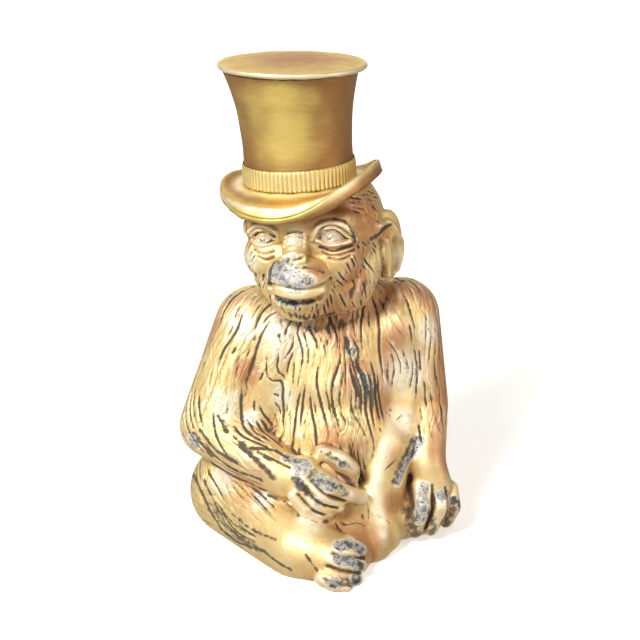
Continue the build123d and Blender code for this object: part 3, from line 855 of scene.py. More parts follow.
def gilt_finish(name, gold, brown, grain_height, blotch, mottling, metal, stretch):
    """A material of aged gilding with painted shade and highlight; dirt, wear, shade and highlight come from the
    piece's own marks.
    """
    finish = bpy.data.materials.new(name)
    finish.use_nodes = True
    tree = finish.node_tree
    shader = tree.nodes["Principled BSDF"]
    coat = tree.nodes.new("ShaderNodeGroup")
    coat.node_tree = gilding
    coat.inputs["Gold"].default_value = gold
    coat.inputs["Brown"].default_value = brown
    coat.inputs["Bare metal"].default_value = bare_metal
    coat.inputs["Blotch"].default_value = blotch
    coat.inputs["Mottling"].default_value = mottling
    coat.inputs["Metal"].default_value = metal
    where = tree.nodes.new("ShaderNodeTexCoord")
    brushed = tree.nodes.new("ShaderNodeMapping")
    brushed.inputs["Scale"].default_value = stretch
    link(tree, where.outputs["Object"], brushed.inputs["Vector"])
    link(tree, brushed.outputs["Vector"], coat.inputs["Place"])
    marks = {}
    for mark in ("grime_and_shade", "rubbed_and_lit", "tarnish_and_shade", "strand"):
        marks[mark] = tree.nodes.new("ShaderNodeAttribute")
        marks[mark].attribute_name = mark
    hair = tree.nodes.new("ShaderNodeGroup")
    hair.node_tree = combing
    link(tree, marks["strand"].outputs["Vector"], hair.inputs["Strand"])
    link(tree, where.outputs["Object"], hair.inputs["Place"])
    grime_and_shade = number(tree, "MULTIPLY_ADD", hair.outputs["Groove"], 0.42, marks["grime_and_shade"].outputs["Fac"])
    link(tree, grime_and_shade, coat.inputs["Grime and shade"])
    # Painted highlight: the ridges of the fine strands are made paler, as if catching the light.
    rubbed_and_lit = number(tree, "MULTIPLY_ADD", hair.outputs["Ridge"], 0.2, marks["rubbed_and_lit"].outputs["Fac"])
    link(tree, rubbed_and_lit, coat.inputs["Rubbed and lit"])
    link(tree, marks["tarnish_and_shade"].outputs["Fac"], coat.inputs["Tarnish and shade"])
    link(tree, coat.outputs["Color"], shader.inputs["Base Color"])
    link(tree, coat.outputs["Roughness"], shader.inputs["Roughness"])
    link(tree, coat.outputs["Metallic"], shader.inputs["Metallic"])
    bump = tree.nodes.new("ShaderNodeBump")
    bump.inputs["Strength"].default_value = 0.5
    bump.inputs["Distance"].default_value = grain_height * mm
    link(tree, coat.outputs["Height"], bump.inputs["Height"])
    strand_bump = tree.nodes.new("ShaderNodeBump")
    strand_bump.inputs["Strength"].default_value = 0.8
    strand_bump.inputs["Distance"].default_value = 1.2 * mm
    link(tree, hair.outputs["Height"], strand_bump.inputs["Height"])
    link(tree, bump.outputs["Normal"], strand_bump.inputs["Normal"])
    link(tree, strand_bump.outputs["Normal"], shader.inputs["Normal"])
    return finish


fur_finish = gilt_finish(
    "gilt_fur", (0.60, 0.45, 0.19, 1.0), (0.42, 0.205, 0.08, 1.0), 0.3, 1.2, 1.0, 0.65, (1.0, 1.0, 1.0),
)


def place_piece(item, body_name, slot, finish, *nodes):
    """Gives a finished piece its material and its body, and hides the nodes it stands for; the slot is not used."""
    item.data.materials.clear()
    item.data.materials.append(finish)
    for face in item.data.polygons:
        face.use_smooth = True
    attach(item, body_name)
    if nodes:
        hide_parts(*nodes)


core_step = 3.5


def core_places(limbs):
    """Places along the middle lines of some limbs, each with the limb's radius there."""
    places = []
    for start, start_radius, end, end_radius in limbs:
        run = Vector(end) - Vector(start)
        steps = max(1, round(run.length / core_step))
        for count in range(steps + 1):
            share = count / steps
            places.append((Vector(start) + run * share, start_radius + share * (end_radius - start_radius)))
    return places


trunk_core = [((trunk_x, trunk_y, 12.0), 1.0, (trunk_x, trunk_y, 72.0), 1.0)]


def edge_loops(edges):
    """Sorts boundary edges into the closed loops they form."""
    waiting = set(edges)
    loops = []
    while waiting:
        loop = [waiting.pop()]
        ends = list(loop[0].verts)
        while ends:
            for edge in ends.pop().link_edges:
                if edge in waiting:
                    waiting.remove(edge)
                    loop.append(edge)
                    ends += edge.verts
        loops.append(loop)
    return loops


# Each casting keeps its share of the skin, and its open edges run in to the middle lines of its own limbs,
# so that the closing walls stay inside the metal.
face_owner = np.array([owner[face[0]] for face in body.faces])
for index, name in enumerate(casting_names):
    part = bmesh.new()
    part.from_mesh(body.mesh)
    part.faces.ensure_lookup_table()
    others = [face for face in part.faces if face_owner[face.index] != index]
    bmesh.ops.delete(part, geom=others, context="FACES")
    places = core_places(castings[name] + webs[name] if name in castings else trunk_core)
    rim = [edge for edge in part.edges if edge.is_boundary]
    for loop in edge_loops(rim):
        ring = {vert for edge in loop for vert in edge.verts}
        middle = sum((vert.co for vert in ring), Vector()) / len(ring) / mm
        closing = bmesh.ops.extrude_edge_only(part, edges=loop)["geom"]
        inner = [item for item in closing if isinstance(item, bmesh.types.BMVert)]
        for vert in inner:
            spot = vert.co / mm if name in castings else middle
            vert.co = min(places, key=lambda place: (spot - place[0]).length - place[1])[0] * mm
        bmesh.ops.remove_doubles(part, verts=inner, dist=0.01 * mm)
    wires = [edge for edge in part.edges if edge.is_wire]
    bmesh.ops.delete(part, geom=wires, context="EDGES")
    left_open = [edge for edge in part.edges if edge.is_boundary]
    bmesh.ops.holes_fill(part, edges=left_open, sides=0)
    for edge in rim:
        if edge.is_valid:
            edge.smooth = False
    piece = as_object(f"{name}_casting", part)
    place_piece(piece, "figure", "gilt_fur", fur_finish, name)

# Head: its own casting, soldered on the neck, with the crown cut flat for the hat and an oval well in it.
# Eyes, lids, wrinkles and lips were tooled into the clay; beard and cheeks carry short chiselled hair.
hat_seat = Vector((-6.0, -6.5, 112.3))
hat_lean = math.radians(3.5)
hat_turn = math.radians(18)
hat_frame = Matrix.Translation(hat_seat) @ Matrix.Rotation(-hat_lean, 4, "Y") @ Matrix.Rotation(-hat_turn, 4, "Z")
well_half_width = 10.6
well_half_depth = 12.0
well_depth = 24.0
head_middle = Vector((-0.5, -5.0, 98.0))
head_turn = math.radians(16)
head_frame = Matrix.Translation(head_middle) @ Matrix.Rotation(-head_turn, 4, "Z")


def at_head(side, ahead, up):
    """A place given from the middle of the head: to its left, forwards and up."""
    return head_frame @ Vector((side, -ahead, up))


head_clay = bmesh.new()
skull_radius = 21.5
add_egg(head_clay, at_head(0, 0, 1.5), (21.0, skull_radius, skull_radius))
add_limb(head_clay, head_middle, 15.0, (3.0, 7.0, 80.0), 15.0)
face_turn = Matrix.Rotation(-head_turn, 4, "Z")
face_lumps = (
    (seen(257, 226, -17.0), 4.4, seen(300, 224, -23.5), 4.4),
    (seen(300, 224, -23.5), 4.4, seen(340, 222, -22.0), 4.6),
    (seen(340, 222, -22.0), 4.6, seen(362, 226, -12.0), 6.0),
    (seen(270, 254, -15.5), 8.0, seen(334, 257, -18.0), 9.2),
    (seen(280, 272, -14.5), 8.2, seen(300, 292, -18.0), 9.2),
    (seen(300, 292, -18.0), 9.2, seen(345, 283, -14.0), 9.2),
    (seen(345, 283, -14.0), 9.2, seen(359, 254, -9.5), 8.5),
    (seen(296, 232, -23.6), 3.8, seen(294, 251, -28.8), 3.8),
)
for lump in face_lumps:
    add_limb(head_clay, *lump)
add_egg(head_clay, seen(298, 275.5, -28.0), (9.7, 8.6, 5.9), face_turn)
add_egg(head_clay, seen(299, 297, -22.0), (8.6, 7.4, 5.0), face_turn)
add_egg(head_clay, seen(293.5, 257, -31.5), (3.8, 3.0, 2.6), face_turn)
ear_flare = math.radians(62)
for side in (-1, 1):
    turn = Matrix.Rotation(-head_turn + side * ear_flare, 4, "Z")
    add_egg(head_clay, at_head(side * 21.0, -3.0, -4.0), (6.8, 2.4, 11.8), turn)

head_cutter = bmesh.new()
cut_block = 60.0
shave = hat_frame @ Matrix.Translation((0, 0, cut_block / 2))
bmesh.ops.create_cube(head_cutter, size=cut_block * mm, matrix=Matrix.Scale(mm, 4) @ shave @ Matrix.Scale(1 / mm, 4))
well = Matrix.Scale(mm, 4) @ hat_frame @ Matrix.Translation((0, 0, -well_depth / 2 + 0.5))
well = well @ Matrix.Diagonal((well_half_width, well_half_depth, 1, 1))
well_cutter = bmesh.new()
bmesh.ops.create_cone(
    well_cutter, cap_ends=True, segments=72, radius1=1.0, radius2=1.0, depth=well_depth + 1.0, matrix=well,
)
head_grain = 0.34
head_mesh = fired(head_clay, [head_cutter, well_cutter], 0.6, head_grain, 10)
head = Skin(head_mesh)

left_eye = (331, 234)
right_eye = (263, 237)
left_upper_lid = ((315, 238.5), (320, 231), (328, 227), (337, 228), (344, 232), (351, 239))
left_lower_lid = ((316, 240.5), (326, 244), (340, 244), (351, 240))
left_brow_fold = ((311.5, 239), (314, 231), (320, 224.5), (330, 222), (342, 224), (350, 230), (355, 239))
right_upper_lid = ((251, 234), (258, 229.5), (267, 230.5), (276, 237.5))
right_lower_lid = ((252, 241), (260, 245.5), (270, 245), (279, 240))
right_brow_fold = ((248, 232), (256, 225.5), (267, 226), (276, 231), (281, 239))
bridge_folds = (
    ((286, 233), (295, 231), (303, 233)),
    ((286, 237.5), (295, 235.5), (304, 237.5)),
    ((285, 242), (295, 240), (304, 242)),
    ((284, 246.5), (293, 244.5), (304, 246.5)),
)
eye_bags = (
    ((320, 247.5), (333, 250.5), (353, 245.5)),
    ((323, 252.5), (337, 255.5), (355, 249.5)),
    ((329, 258), (341, 259.5), (351, 255.5)),
    ((254, 249), (263, 253.5), (273, 251)),
    ((259, 257), (266, 260), (273, 257)),
)
mouth_line = ((269, 284), (281, 288), (295, 290.5), (304, 290.5), (315, 288), (324.5, 284), (330, 279.5))
lower_lip = ((271, 288), (283, 292.5), (297, 295), (313, 292.5), (324, 288))
under_lip = ((274, 296), (290, 300.5), (306, 300.5), (320, 296))
nostrils = (((286, 263), (288, 260)), ((294, 262), (303, 258)))
nose_wings = (((284, 258), (285, 264)), ((303, 256), (304, 263)))
ear_rims = (
    ((378, 226), (388, 222), (398, 234), (404, 254), (401, 274), (391, 291)),
    ((386, 240), (389, 256), (388, 274)),
)
ear_hollows = (((395, 240), (398, 258), (394, 278)), ((380, 240), (383, 258), (385, 280)))
lid_edges = (
    ((318, 237.5), (322, 232.5), (330, 229.5), (338, 231.5), (347, 238.5)),
    ((255, 235.5), (260, 232.5), (267, 233.0), (275, 237.5)),
)


def ring_line(middle, radius):
    """A round line of the picture."""
    turns = [math.radians(45 * step) for step in range(9)]
    return [(middle[0] + radius * math.cos(turn), middle[1] + radius * math.sin(turn)) for turn in turns]


irises = (ring_line((329.5, 235), 4.2), ring_line((262.5, 237.5), 3.6))
pupils = (((329.5, 235),), ((262.5, 237.5),))
for eye, socket_width, ball_width in ((left_eye, 6.5, 4.3), (right_eye, 5.6, 3.7)):
    head.push(head.drawn([eye]), socket_width, -1.5)
    head.settle()
    head.push(head.drawn([eye]), ball_width, 1.4)
    head.settle()
tooling = (
    (left_brow_fold, 1.3, 1.5), (left_upper_lid, 1.0, 1.4), (left_lower_lid, 1.1, 1.4),
    (right_brow_fold, 1.2, 1.1), (right_upper_lid, 1.0, 1.2), (right_lower_lid, 1.0, 1.1),
    (lower_lip, 1.4, 1.3), (under_lip, 1.8, -1.3), (mouth_line, 1.0, -1.9),
)
for line, width, height in tooling:
    head.push(head.drawn(line), width, height)
head.settle()
fine_tooling = (
    (bridge_folds, 0.8, -0.8), (eye_bags, 0.75, -0.9), (nostrils, 1.0, -1.5), (nose_wings, 1.4, 0.4),
    (ear_rims, 1.5, 1.0), (ear_hollows, 1.6, -1.7), (lid_edges, 0.6, -0.6), (irises, 0.5, -0.35), (pupils, 0.8, -0.4),
)
for lines, width, height in fine_tooling:
    for line in lines:
        head.push(head.drawn(line), width, height)
head.settle()

ahead_of = Vector((0, math.cos(camera_pitch), -math.sin(camera_pitch)))
upward_of = Vector((0, math.sin(camera_pitch), math.cos(camera_pitch)))
from_camera = head.points - np.array(camera_place / mm)
far = from_camera @ np.array(ahead_of)
shown_across = picture_size / 2 + focal_pixels * from_camera[:, 0] / far
shown_down = picture_size / 2 - focal_pixels * (from_camera @ np.array(upward_of)) / far
face_outline = (
    (246, 215), (252, 245), (261, 262), (267, 280), (273, 299), (290, 305), (310, 305), (327, 297),
    (334, 282), (337, 268), (350, 259), (357, 242), (353, 215),
)
temple_outline = ((290, 190), (345, 190), (352, 212), (380, 222), (374, 240), (356, 242), (345, 222), (300, 222))


def within(outline):
    """Which points of the head the picture shows inside an outline."""
    found = np.zeros(len(head.points), bool)
    for (x0, y0), (x1, y1) in zip(outline, outline[1:] + outline[:1]):
        crosses = (y0 > shown_down) != (y1 > shown_down)
        turning = x0 + (shown_down - y0) / (y1 - y0 + 1e-9) * (x1 - x0)
        found ^= crosses & (shown_across < turning)
    return found


ear_way = Vector((math.cos(head_turn + ear_flare), -math.sin(head_turn + ear_flare), 0))
ear_out = Vector((ear_way.y, -ear_way.x, 0))
ear_middle = at_head(-21.0, -3.0, -4.0)
for reach, low, high, width, height in ((0.6, -6.5, 5.0, 3.2, -1.7), (-1.8, -8.0, 7.5, 1.4, 0.7)):
    ear_face = ear_middle + ear_out * 2.2 + ear_way * reach
    hollow = [np.array(ear_face + Vector((0, 0, low + (high - low) * step / 8))) for step in range(9)]
    head.push(np.array(hollow), width, height)
head.settle()
inside = within(face_outline) | within(temple_outline)
inside &= head.points[:, 1] < head_middle.y
below_hat = np.column_stack((head.points, np.ones(len(head.points)))) @ np.array(hat_frame.inverted()).T
in_well = np.hypot(below_hat[:, 0] / well_half_width, below_hat[:, 1] / well_half_depth) < 1.12
on_seat = (below_hat[:, 2] > -0.8) | (in_well & (below_hat[:, 2] > -well_depth - 1))
inside |= on_seat
ear_limbs = [(at_head(side, -3, -12), 7.0, at_head(side, -3, 4), 7.0) for side in (-21, 21)]
on_ear = limb_gap(head.points, ear_limbs) < 0
head_hairy = 1 - head.spread((inside | on_ear).astype(float), 6)
head_flow = head.points - np.array(at_head(0, 24, 6))
head_flow = head_flow / np.linalg.norm(head_flow, axis=1)[:, None] + np.array((0, 0, -0.55))
head_flow = lie_flat(head_flow + waver(head.points, 6.0, 0.5, 2), head.normals)
head_spacing = np.where(head_hairy > 0.5, 1.25, 0)
head_lines = comb(head, head_flow, head_spacing, np.full(len(head.points), 12.0), 0.45, 4)
head_cut = chisel(head, *head_lines, 0.55, 0.5 * head_hairy)
head.settle()
rubbed_head = [
    (((277, 270), (286, 276), (295, 283)), 6.5, 0.95), (((299, 282), (309, 281)), 3.4, 0.9),
    (((280, 300), (296, 303)), 2.6, 0.8), (((293, 256),), 2.0, 0.7),
]
# Painted highlight: pale spots on the eyes, the nose bridge, the cheek and the ear.
pale_head = spots(((331, 236, 6.0), (263, 240, 5.0), (296, 240, 6.0), (250, 260, 6.0), (395, 255, 5.0)))
# Painted shade: brown spots on the forehead and temple under the brim, beside the right eye and ear, on the shaded
# right cheek and below the chin.
brown_head = spots((
    (366, 215, 9.0), (362, 245, 6.0), (355, 282, 9.0), (330, 312, 9.0), (384, 232, 5.0), (318, 273, 5.0),
    (310, 214, 7.0), (340, 207, 8.0),
))
head_lines_dark = [mouth_line, *eye_bags, *nostrils, *lid_edges[:2], *bridge_folds]
head_strokes = [(line, 0.7, 0.42) for line in head_lines_dark] + [
    (((275, 262), (270, 270), (270, 283)), 2.0, 0.75), (((276, 262), (287, 264)), 1.8, 0.55),
    (((296, 268), (310, 268), (324, 273)), 1.4, 0.55), (((276, 297), (290, 303), (313, 301)), 2.4, 0.6),
    (((290, 314), (308, 318), (332, 314)), 2.6, 0.5), (((350, 294), (372, 278)), 3.0, 0.4),
    (((371, 239), (378, 235), (384, 228), (390, 225)), 1.5, 0.75), (ear_hollows[1], 1.2, 0.5),
    (((313, 284), (327, 283)), 1.5, 0.5), (((352, 240), (356, 250)), 1.6, 0.55), (left_brow_fold, 0.9, 0.3),
    (((334, 219), (345, 222), (352, 231), (355, 242)), 1.3, 0.7), (((246, 222), (247, 234)), 1.4, 0.5),
]
head_angle = np.arctan2(head.points[:, 0] - head_middle.x, head_middle.y - head.points[:, 1])
head_grid = np.stack((head_angle * skull_radius, head.points[:, 2]), axis=1)
write_strands(head, head_grid, head_hairy * 0.9, np.abs(head_angle) > math.pi - back_seam)
weathered_and_shaded(head, head_cut * 0.75, painted(head, head_strokes), rubbed_head, pale_head, brown_head, 14, 0.3)
head_piece = bpy.data.objects.new("head_casting", head.mesh)
scene.collection.objects.link(head_piece)
# The seat, the well and the neck inside the trunk are plain, and keep fewer points than the tooled face.
neck_line = 76.0
plain_share = 0.76
plain = head_piece.vertex_groups.new(name="plain")
plain.add(np.flatnonzero(on_seat | (head.points[:, 2] < neck_line)).tolist(), 1.0, "REPLACE")
thinned = head_piece.modifiers.new("thinned", "DECIMATE")
thinned.vertex_group = plain.name
thinned.ratio = plain_share
place_piece(head_piece, "figure", "gilt_fur", fur_finish, "head")

# Hat crown: a bell-flared tube of white metal, turned and gilded, soldered to the brim at its foot.
brim_thickness = 2.2
crown_foot = 2.35
crown_radius = 16.6
crown_upright = 6.3
crown_height = 34.0
crown_flare = 3.4
crown_wall = 1.6
hat_steps = 192
hat_place = Matrix.Scale(mm, 4) @ hat_frame


def turned(profile, closed):
    """A bmesh turned about the hat's axis from a profile of radius and height, in millimetres."""
    form = bmesh.new()
    verts = [form.verts.new((radius, 0, height)) for radius, height in profile]
    pairs = list(zip(verts, verts[1:]))
    if closed:
        pairs.append((verts[-1], verts[0]))
    edges = [form.edges.new(pair) for pair in pairs]
    bmesh.ops.spin(
        form, geom=verts + edges, cent=(0, 0, 0), axis=(0, 0, 1), angle=2 * math.pi, steps=hat_steps,
        use_merge=True, use_normal_flip=False,
    )
    bmesh.ops.remove_doubles(form, verts=form.verts, dist=0.001)
    bmesh.ops.recalc_face_normals(form, faces=form.faces)
    return form


def crown_reach(rise):
    """The crown's outer radius at a height above its foot."""
    share = max(0.0, rise - crown_upright) / (crown_height - crown_upright)
    return crown_radius + crown_flare * share ** 2.4


crown_rows = 40
crown_profile = []
for row in range(crown_rows + 1):
    rise = crown_height * row / crown_rows
    crown_profile.append((crown_reach(rise), crown_foot + rise))
for row in range(crown_rows, -1, -4):
    rise = crown_height * row / crown_rows
    crown_profile.append((crown_reach(rise) - crown_wall, crown_foot + rise))
crown = turned(crown_profile, True)


def roughened(form, size, height, seed):
    """Moves the points of a form by a slow seeded noise, as a hand-worked casting has."""
    form.normal_update()
    offset = Vector((seed * 3.7, seed * 1.9, seed * 2.3))
    for vert in form.verts:
        vert.co += vert.normal * noise.noise(vert.co / size + offset) * height


level_way = Matrix.Rotation(hat_turn, 3, "Z") @ Vector((1, 0, 0))


def levelled(form, flare_share):
    """Leans the head of the hat back to level, more towards its top, and flares the crown's right side."""
    for vert in form.verts:
        share = min(1.0, max(0.0, (vert.co.z - crown_foot) / crown_height))
        side = vert.co.dot(level_way)
        vert.co.z -= side * math.tan(hat_lean) * share * share
        right = min(1.0, max(0.0, -side / crown_radius))
        flare = 1.0 + flare_share * share ** 4 * right * right
        vert.co.x *= flare
        vert.co.y *= flare


def mark(form, name, level):
    """Stores on each point of a form how strongly a mark shows there, from a rule on its place."""
    layer = form.verts.layers.float.new(name)
    for vert in form.verts:
        vert[layer] = min(1.0, max(0.0, level(vert.co)))


def hill(value, middle, width):
    """A smooth hump of height 1."""
    return math.exp(-((value - middle) / width) ** 2)


roughened(crown, 7.0, 0.12, 1)
mark(crown, "grime_and_shade", lambda at: 0.75 * hill(at.z, 36.3, 0.7) + 0.4 * hill(at.z, 8.6, 0.5))
front_way = Matrix.Rotation(hat_turn, 3, "Z") @ Vector((0, -1, 0))
# The crown's painted reflection: its turn from the front and its width.
gold_turn = -0.15
gold_spread = 0.75


def crown_shade_and_tarnish(at):
    """Painted reflection and shade: the crown is gold in front where the key light would glint, and browner all
    round, most on its shaded left; it is also browner near the top and the band.
    """
    turn = math.atan2(at.dot(level_way), at.dot(front_way))
    patchy = noise.noise(at / 6.0) * 0.2
    flank = 0.75 * (1 - hill(turn, gold_turn, gold_spread)) + 0.15 * math.sin(turn)
    return flank + patchy + 0.35 * hill(at.z, 36.3, 3.0) + 0.3 * hill(at.z, 9.0, 3.0)


mark(crown, "tarnish_and_shade", crown_shade_and_tarnish)
levelled(crown, 0.06)
bmesh.ops.transform(crown, matrix=hat_place, verts=crown.verts)
hat_finish = gilt_finish(
    "gilt_hat", (0.68, 0.53, 0.15, 1.0), (0.33, 0.165, 0.055, 1.0), 0.1, 0.3, 0.45, 0.8, (0.6, 0.6, 2.5),
)
crown_piece = as_object("crown_casting", crown)
place_piece(crown_piece, "hat", "gilt_hat", hat_finish, "hat_crown")

# Hat top: a slightly domed disc with a thin lip, let into the crown and soldered.
top_foot = 36.5
top_radius = 22.4
top_thickness = 1.6
top_dome = 1.0
top_step = 1.2
step_radius = 18.0
top_profile = [(0.0, top_foot - top_step), (step_radius, top_foot - top_step), (step_radius, top_foot)]
lip_middle = top_foot + top_thickness / 2
for step in range(9):
    angle = math.radians(-90 + 180 * step / 8)
    edge = top_radius - top_thickness / 2
    top_profile.append((edge + top_thickness / 2 * math.cos(angle), lip_middle + top_thickness / 2 * math.sin(angle)))
dome_rows = 14
for row in range(1, dome_rows + 1):
    share = 1 - row / dome_rows
    rise = top_dome * (1 - share * share)
    top_profile.append(((top_radius - top_thickness / 2) * share, top_foot + top_thickness + rise))
top = turned(top_profile, False)
roughened(top, 5.0, 0.14, 2)
mark(top, "rubbed_and_lit", lambda at: 0.3 * hill(math.hypot(at.x, at.y), top_radius, 1.0))
mark(top, "tarnish_and_shade", lambda at: 0.6 * hill(math.hypot(at.x, at.y), 0.0, 18.0))
levelled(top, 0.0)
bmesh.ops.transform(top, matrix=hat_place, verts=top.verts)
top_piece = as_object("top_disc", top)
place_piece(top_piece, "hat", "gilt_hat", hat_finish, "hat_top")

# Hat band: a ribbed ring round the foot of the crown, like corded ribbon.
band_height = 6.3
band_inner = 16.75
band_outer = 17.0
rib_count = 76
rib_depth = 0.36
band_profile = [(band_inner, crown_foot), (band_outer, crown_foot)]
band_rows = 8
for row in range(1, band_rows):
    band_profile.append((band_outer, crown_foot + band_height * row / band_rows))
band_profile += [(band_outer, crown_foot + band_height), (band_inner, crown_foot + band_height)]
hat_steps = rib_count * 8
band = turned(band_profile, True)
for vert in band.verts:
    reach = math.hypot(vert.co.x, vert.co.y)
    if reach > (band_inner + band_outer) / 2:
        rib = abs(math.cos(math.atan2(vert.co.y, vert.co.x) * rib_count / 2)) ** 0.7
        rise = (vert.co.z - crown_foot) / band_height
        grown = (reach + rib_depth * rib * (1 - rise ** 8)) / reach
        vert.co.x *= grown
        vert.co.y *= grown
band_crest = band_outer + rib_depth
mark(band, "grime_and_shade", lambda at: 0.8 * (band_crest - math.hypot(at.x, at.y)) / rib_depth - 0.4)
mark(band, "rubbed_and_lit", lambda at: 0.25 * (math.hypot(at.x, at.y) - band_outer) / rib_depth)
bmesh.ops.transform(band, matrix=hat_place, verts=band.verts)
band_piece = as_object("corded_band", band)
place_piece(band_piece, "hat", "gilt_hat", hat_finish, "hat_band")

# Hat brim: an oval plate with a thick edge, dipped front and back and curled up at its left side.
brim_half_width = 25.5
brim_half_depth = 26.5
brim_flat = 16.5
left_curl = 6.0
right_curl = 0.5
brim_dip = 5.0
brim_hole = 15.0
brim_rows = 26
brim_steps = 192


def brim_lift(x, y):
    """How far the brim rises above its seat at a place."""
    across = x / brim_half_width
    along = y / brim_half_depth
    edge = math.hypot(across, along)
    reach = math.hypot(x, y)
    if reach <= brim_flat:
        return 0.0
    share = (reach - brim_flat) / (reach / edge - brim_flat)
    curl = left_curl if x > 0 else right_curl
    return (curl * across * across - brim_dip * along * along) / (edge * edge) * share * share


brim = bmesh.new()
ring = bmesh.ops.create_circle(brim, segments=brim_steps, radius=1.0)
edges = list({edge for vert in ring["verts"] for edge in vert.link_edges})
for vert in ring["verts"]:
    vert.co = Vector((vert.co.x * brim_hole, vert.co.y * brim_hole, 0))
inner_reach = brim_hole
for row in range(1, brim_rows + 1):
    share = row / brim_rows
    grown = bmesh.ops.extrude_edge_only(brim, edges=edges)["geom"]
    for vert in [item for item in grown if isinstance(item, bmesh.types.BMVert)]:
        angle = math.atan2(vert.co.y, vert.co.x)
        oval = 1 / math.hypot(math.cos(angle) / brim_half_width, math.sin(angle) / brim_half_depth)
        reach = brim_hole + (oval - brim_hole) * share
        x = reach * math.cos(angle)
        y = reach * math.sin(angle)
        vert.co = Vector((x, y, brim_lift(x * 0.9999, y * 0.9999)))
    edges = [item for item in grown if isinstance(item, bmesh.types.BMEdge)]
    edges = [edge for edge in edges if edge.is_boundary]
bmesh.ops.recalc_face_normals(brim, faces=brim.faces)
brim.faces.ensure_lookup_table()
if brim.faces[0].normal.z < 0:
    bmesh.ops.reverse_faces(brim, faces=brim.faces)
bmesh.ops.solidify(brim, geom=list(brim.faces), thickness=-brim_thickness)
bmesh.ops.recalc_face_normals(brim, faces=brim.faces)


def brim_share(at):
    """How far out on the brim a place lies, 1 at its edge."""
    return math.hypot(at.x / brim_half_width, at.y / brim_half_depth)


def on_top(at):
    """Whether a place lies on the upper half of the brim's thickness."""
    return at.z - brim_lift(at.x, at.y) > brim_thickness / 2


rolled_edge = 1.1
for vert in brim.verts:
    if on_top(vert.co):
        vert.co.z += rolled_edge * hill(brim_share(vert.co), 0.965, 0.06)
edge_drop = 1.3
for vert in brim.verts:
    if not on_top(vert.co) and vert.co.x > 0:
        lateral = min(1.0, vert.co.x / brim_flat)
        vert.co.z -= edge_drop * lateral * hill(brim_share(vert.co), 1.0, 0.25)
sharp = [edge for edge in brim.edges if len(edge.link_faces) == 2 and edge.calc_face_angle() > math.radians(50)]
bmesh.ops.bevel(
    brim, geom=sharp, offset=0.8, offset_type="OFFSET", affect="EDGES", segments=4, profile=0.5, material=-1,
)
roughened(brim, 4.0, 0.3, 3)
brim_tuck = 0.94
for vert in brim.verts:
    if vert.co.x < 0:
        vert.co.x *= 1 - (1 - brim_tuck) * min(1.0, -vert.co.x / crown_radius) ** 2



def brim_rubbed_and_lit(at):
    """Paler along the crest of the rolled edge, as thin gilding and painted highlight, and dusty where the band
    stands.
    """
    dusty = 0.3 * hill(math.hypot(at.x, at.y), 19.0, 1.6)
    upper = min(1.0, max(0.0, at.z - brim_lift(at.x, at.y) - 1.4))
    return max(dusty, 0.35 * upper * hill(brim_share(at), 0.98, 0.03))


def brim_tarnish_and_shade(at):
    """The brim is brown in its trough and low on its edge, with painted shade under it."""
    under = 0.85 * min(1.0, max(0.0, 1.7 - at.z + brim_lift(at.x, at.y)))
    return max(under, 0.4 * hill(brim_share(at), 0.84, 0.08))


mark(brim, "rubbed_and_lit", brim_rubbed_and_lit)
mark(brim, "grime_and_shade", lambda at: 0.4 * hill(math.hypot(at.x, at.y), 17.4, 0.4))
mark(brim, "tarnish_and_shade", brim_tarnish_and_shade)
bmesh.ops.transform(brim, matrix=hat_place, verts=brim.verts)
brim_piece = as_object("brim_casting", brim)
place_piece(brim_piece, "hat", "gilt_hat", hat_finish, "hat_brim")

# Spigot: the oval collar under the brim that drops into the well of the head. It keeps its plain cast form.
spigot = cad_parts["hat_spigot"]
spigot.data.materials.clear()
spigot.data.materials.append(hat_finish)

# Base: a steel plate and three countersunk screws close the underside. They keep their plain machined form.
steel = bpy.data.materials.new("plate_steel")
steel.use_nodes = True
steel_tree = steel.node_tree
steel_shader = steel_tree.nodes["Principled BSDF"]
steel_where = steel_tree.nodes.new("ShaderNodeTexCoord")
steel_brush = steel_tree.nodes.new("ShaderNodeMapping")
steel_brush.inputs["Scale"].default_value = (1.0, 30.0, 1.0)
link(steel_tree, steel_where.outputs["Object"], steel_brush.inputs["Vector"])
scratches = cloud(steel_tree, steel_brush.outputs["Vector"], 220.0, 5.0, 0.65)
stains = cloud(steel_tree, steel_where.outputs["Object"], 60.0, 4.0)
steel_tone = mixed(steel_tree, ramp(steel_tree, stains, 0.4, 0.75), (0.42, 0.41, 0.39, 1.0), (0.24, 0.17, 0.11, 1.0))
link(steel_tree, steel_tone, steel_shader.inputs["Base Color"])
link(steel_tree, number(steel_tree, "MULTIPLY_ADD", scratches, 0.35, 0.25), steel_shader.inputs["Roughness"])
steel_bump = steel_tree.nodes.new("ShaderNodeBump")
steel_bump.inputs["Strength"].default_value = 0.2
steel_bump.inputs["Distance"].default_value = 0.1 * mm
link(steel_tree, scratches, steel_bump.inputs["Height"])
link(steel_tree, steel_bump.outputs["Normal"], steel_shader.inputs["Normal"])
steel_shader.inputs["Metallic"].default_value = 0.9
for name in ("base_plate", "base_screws"):
    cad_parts[name].data.materials.clear()
    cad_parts[name].data.materials.append(steel)

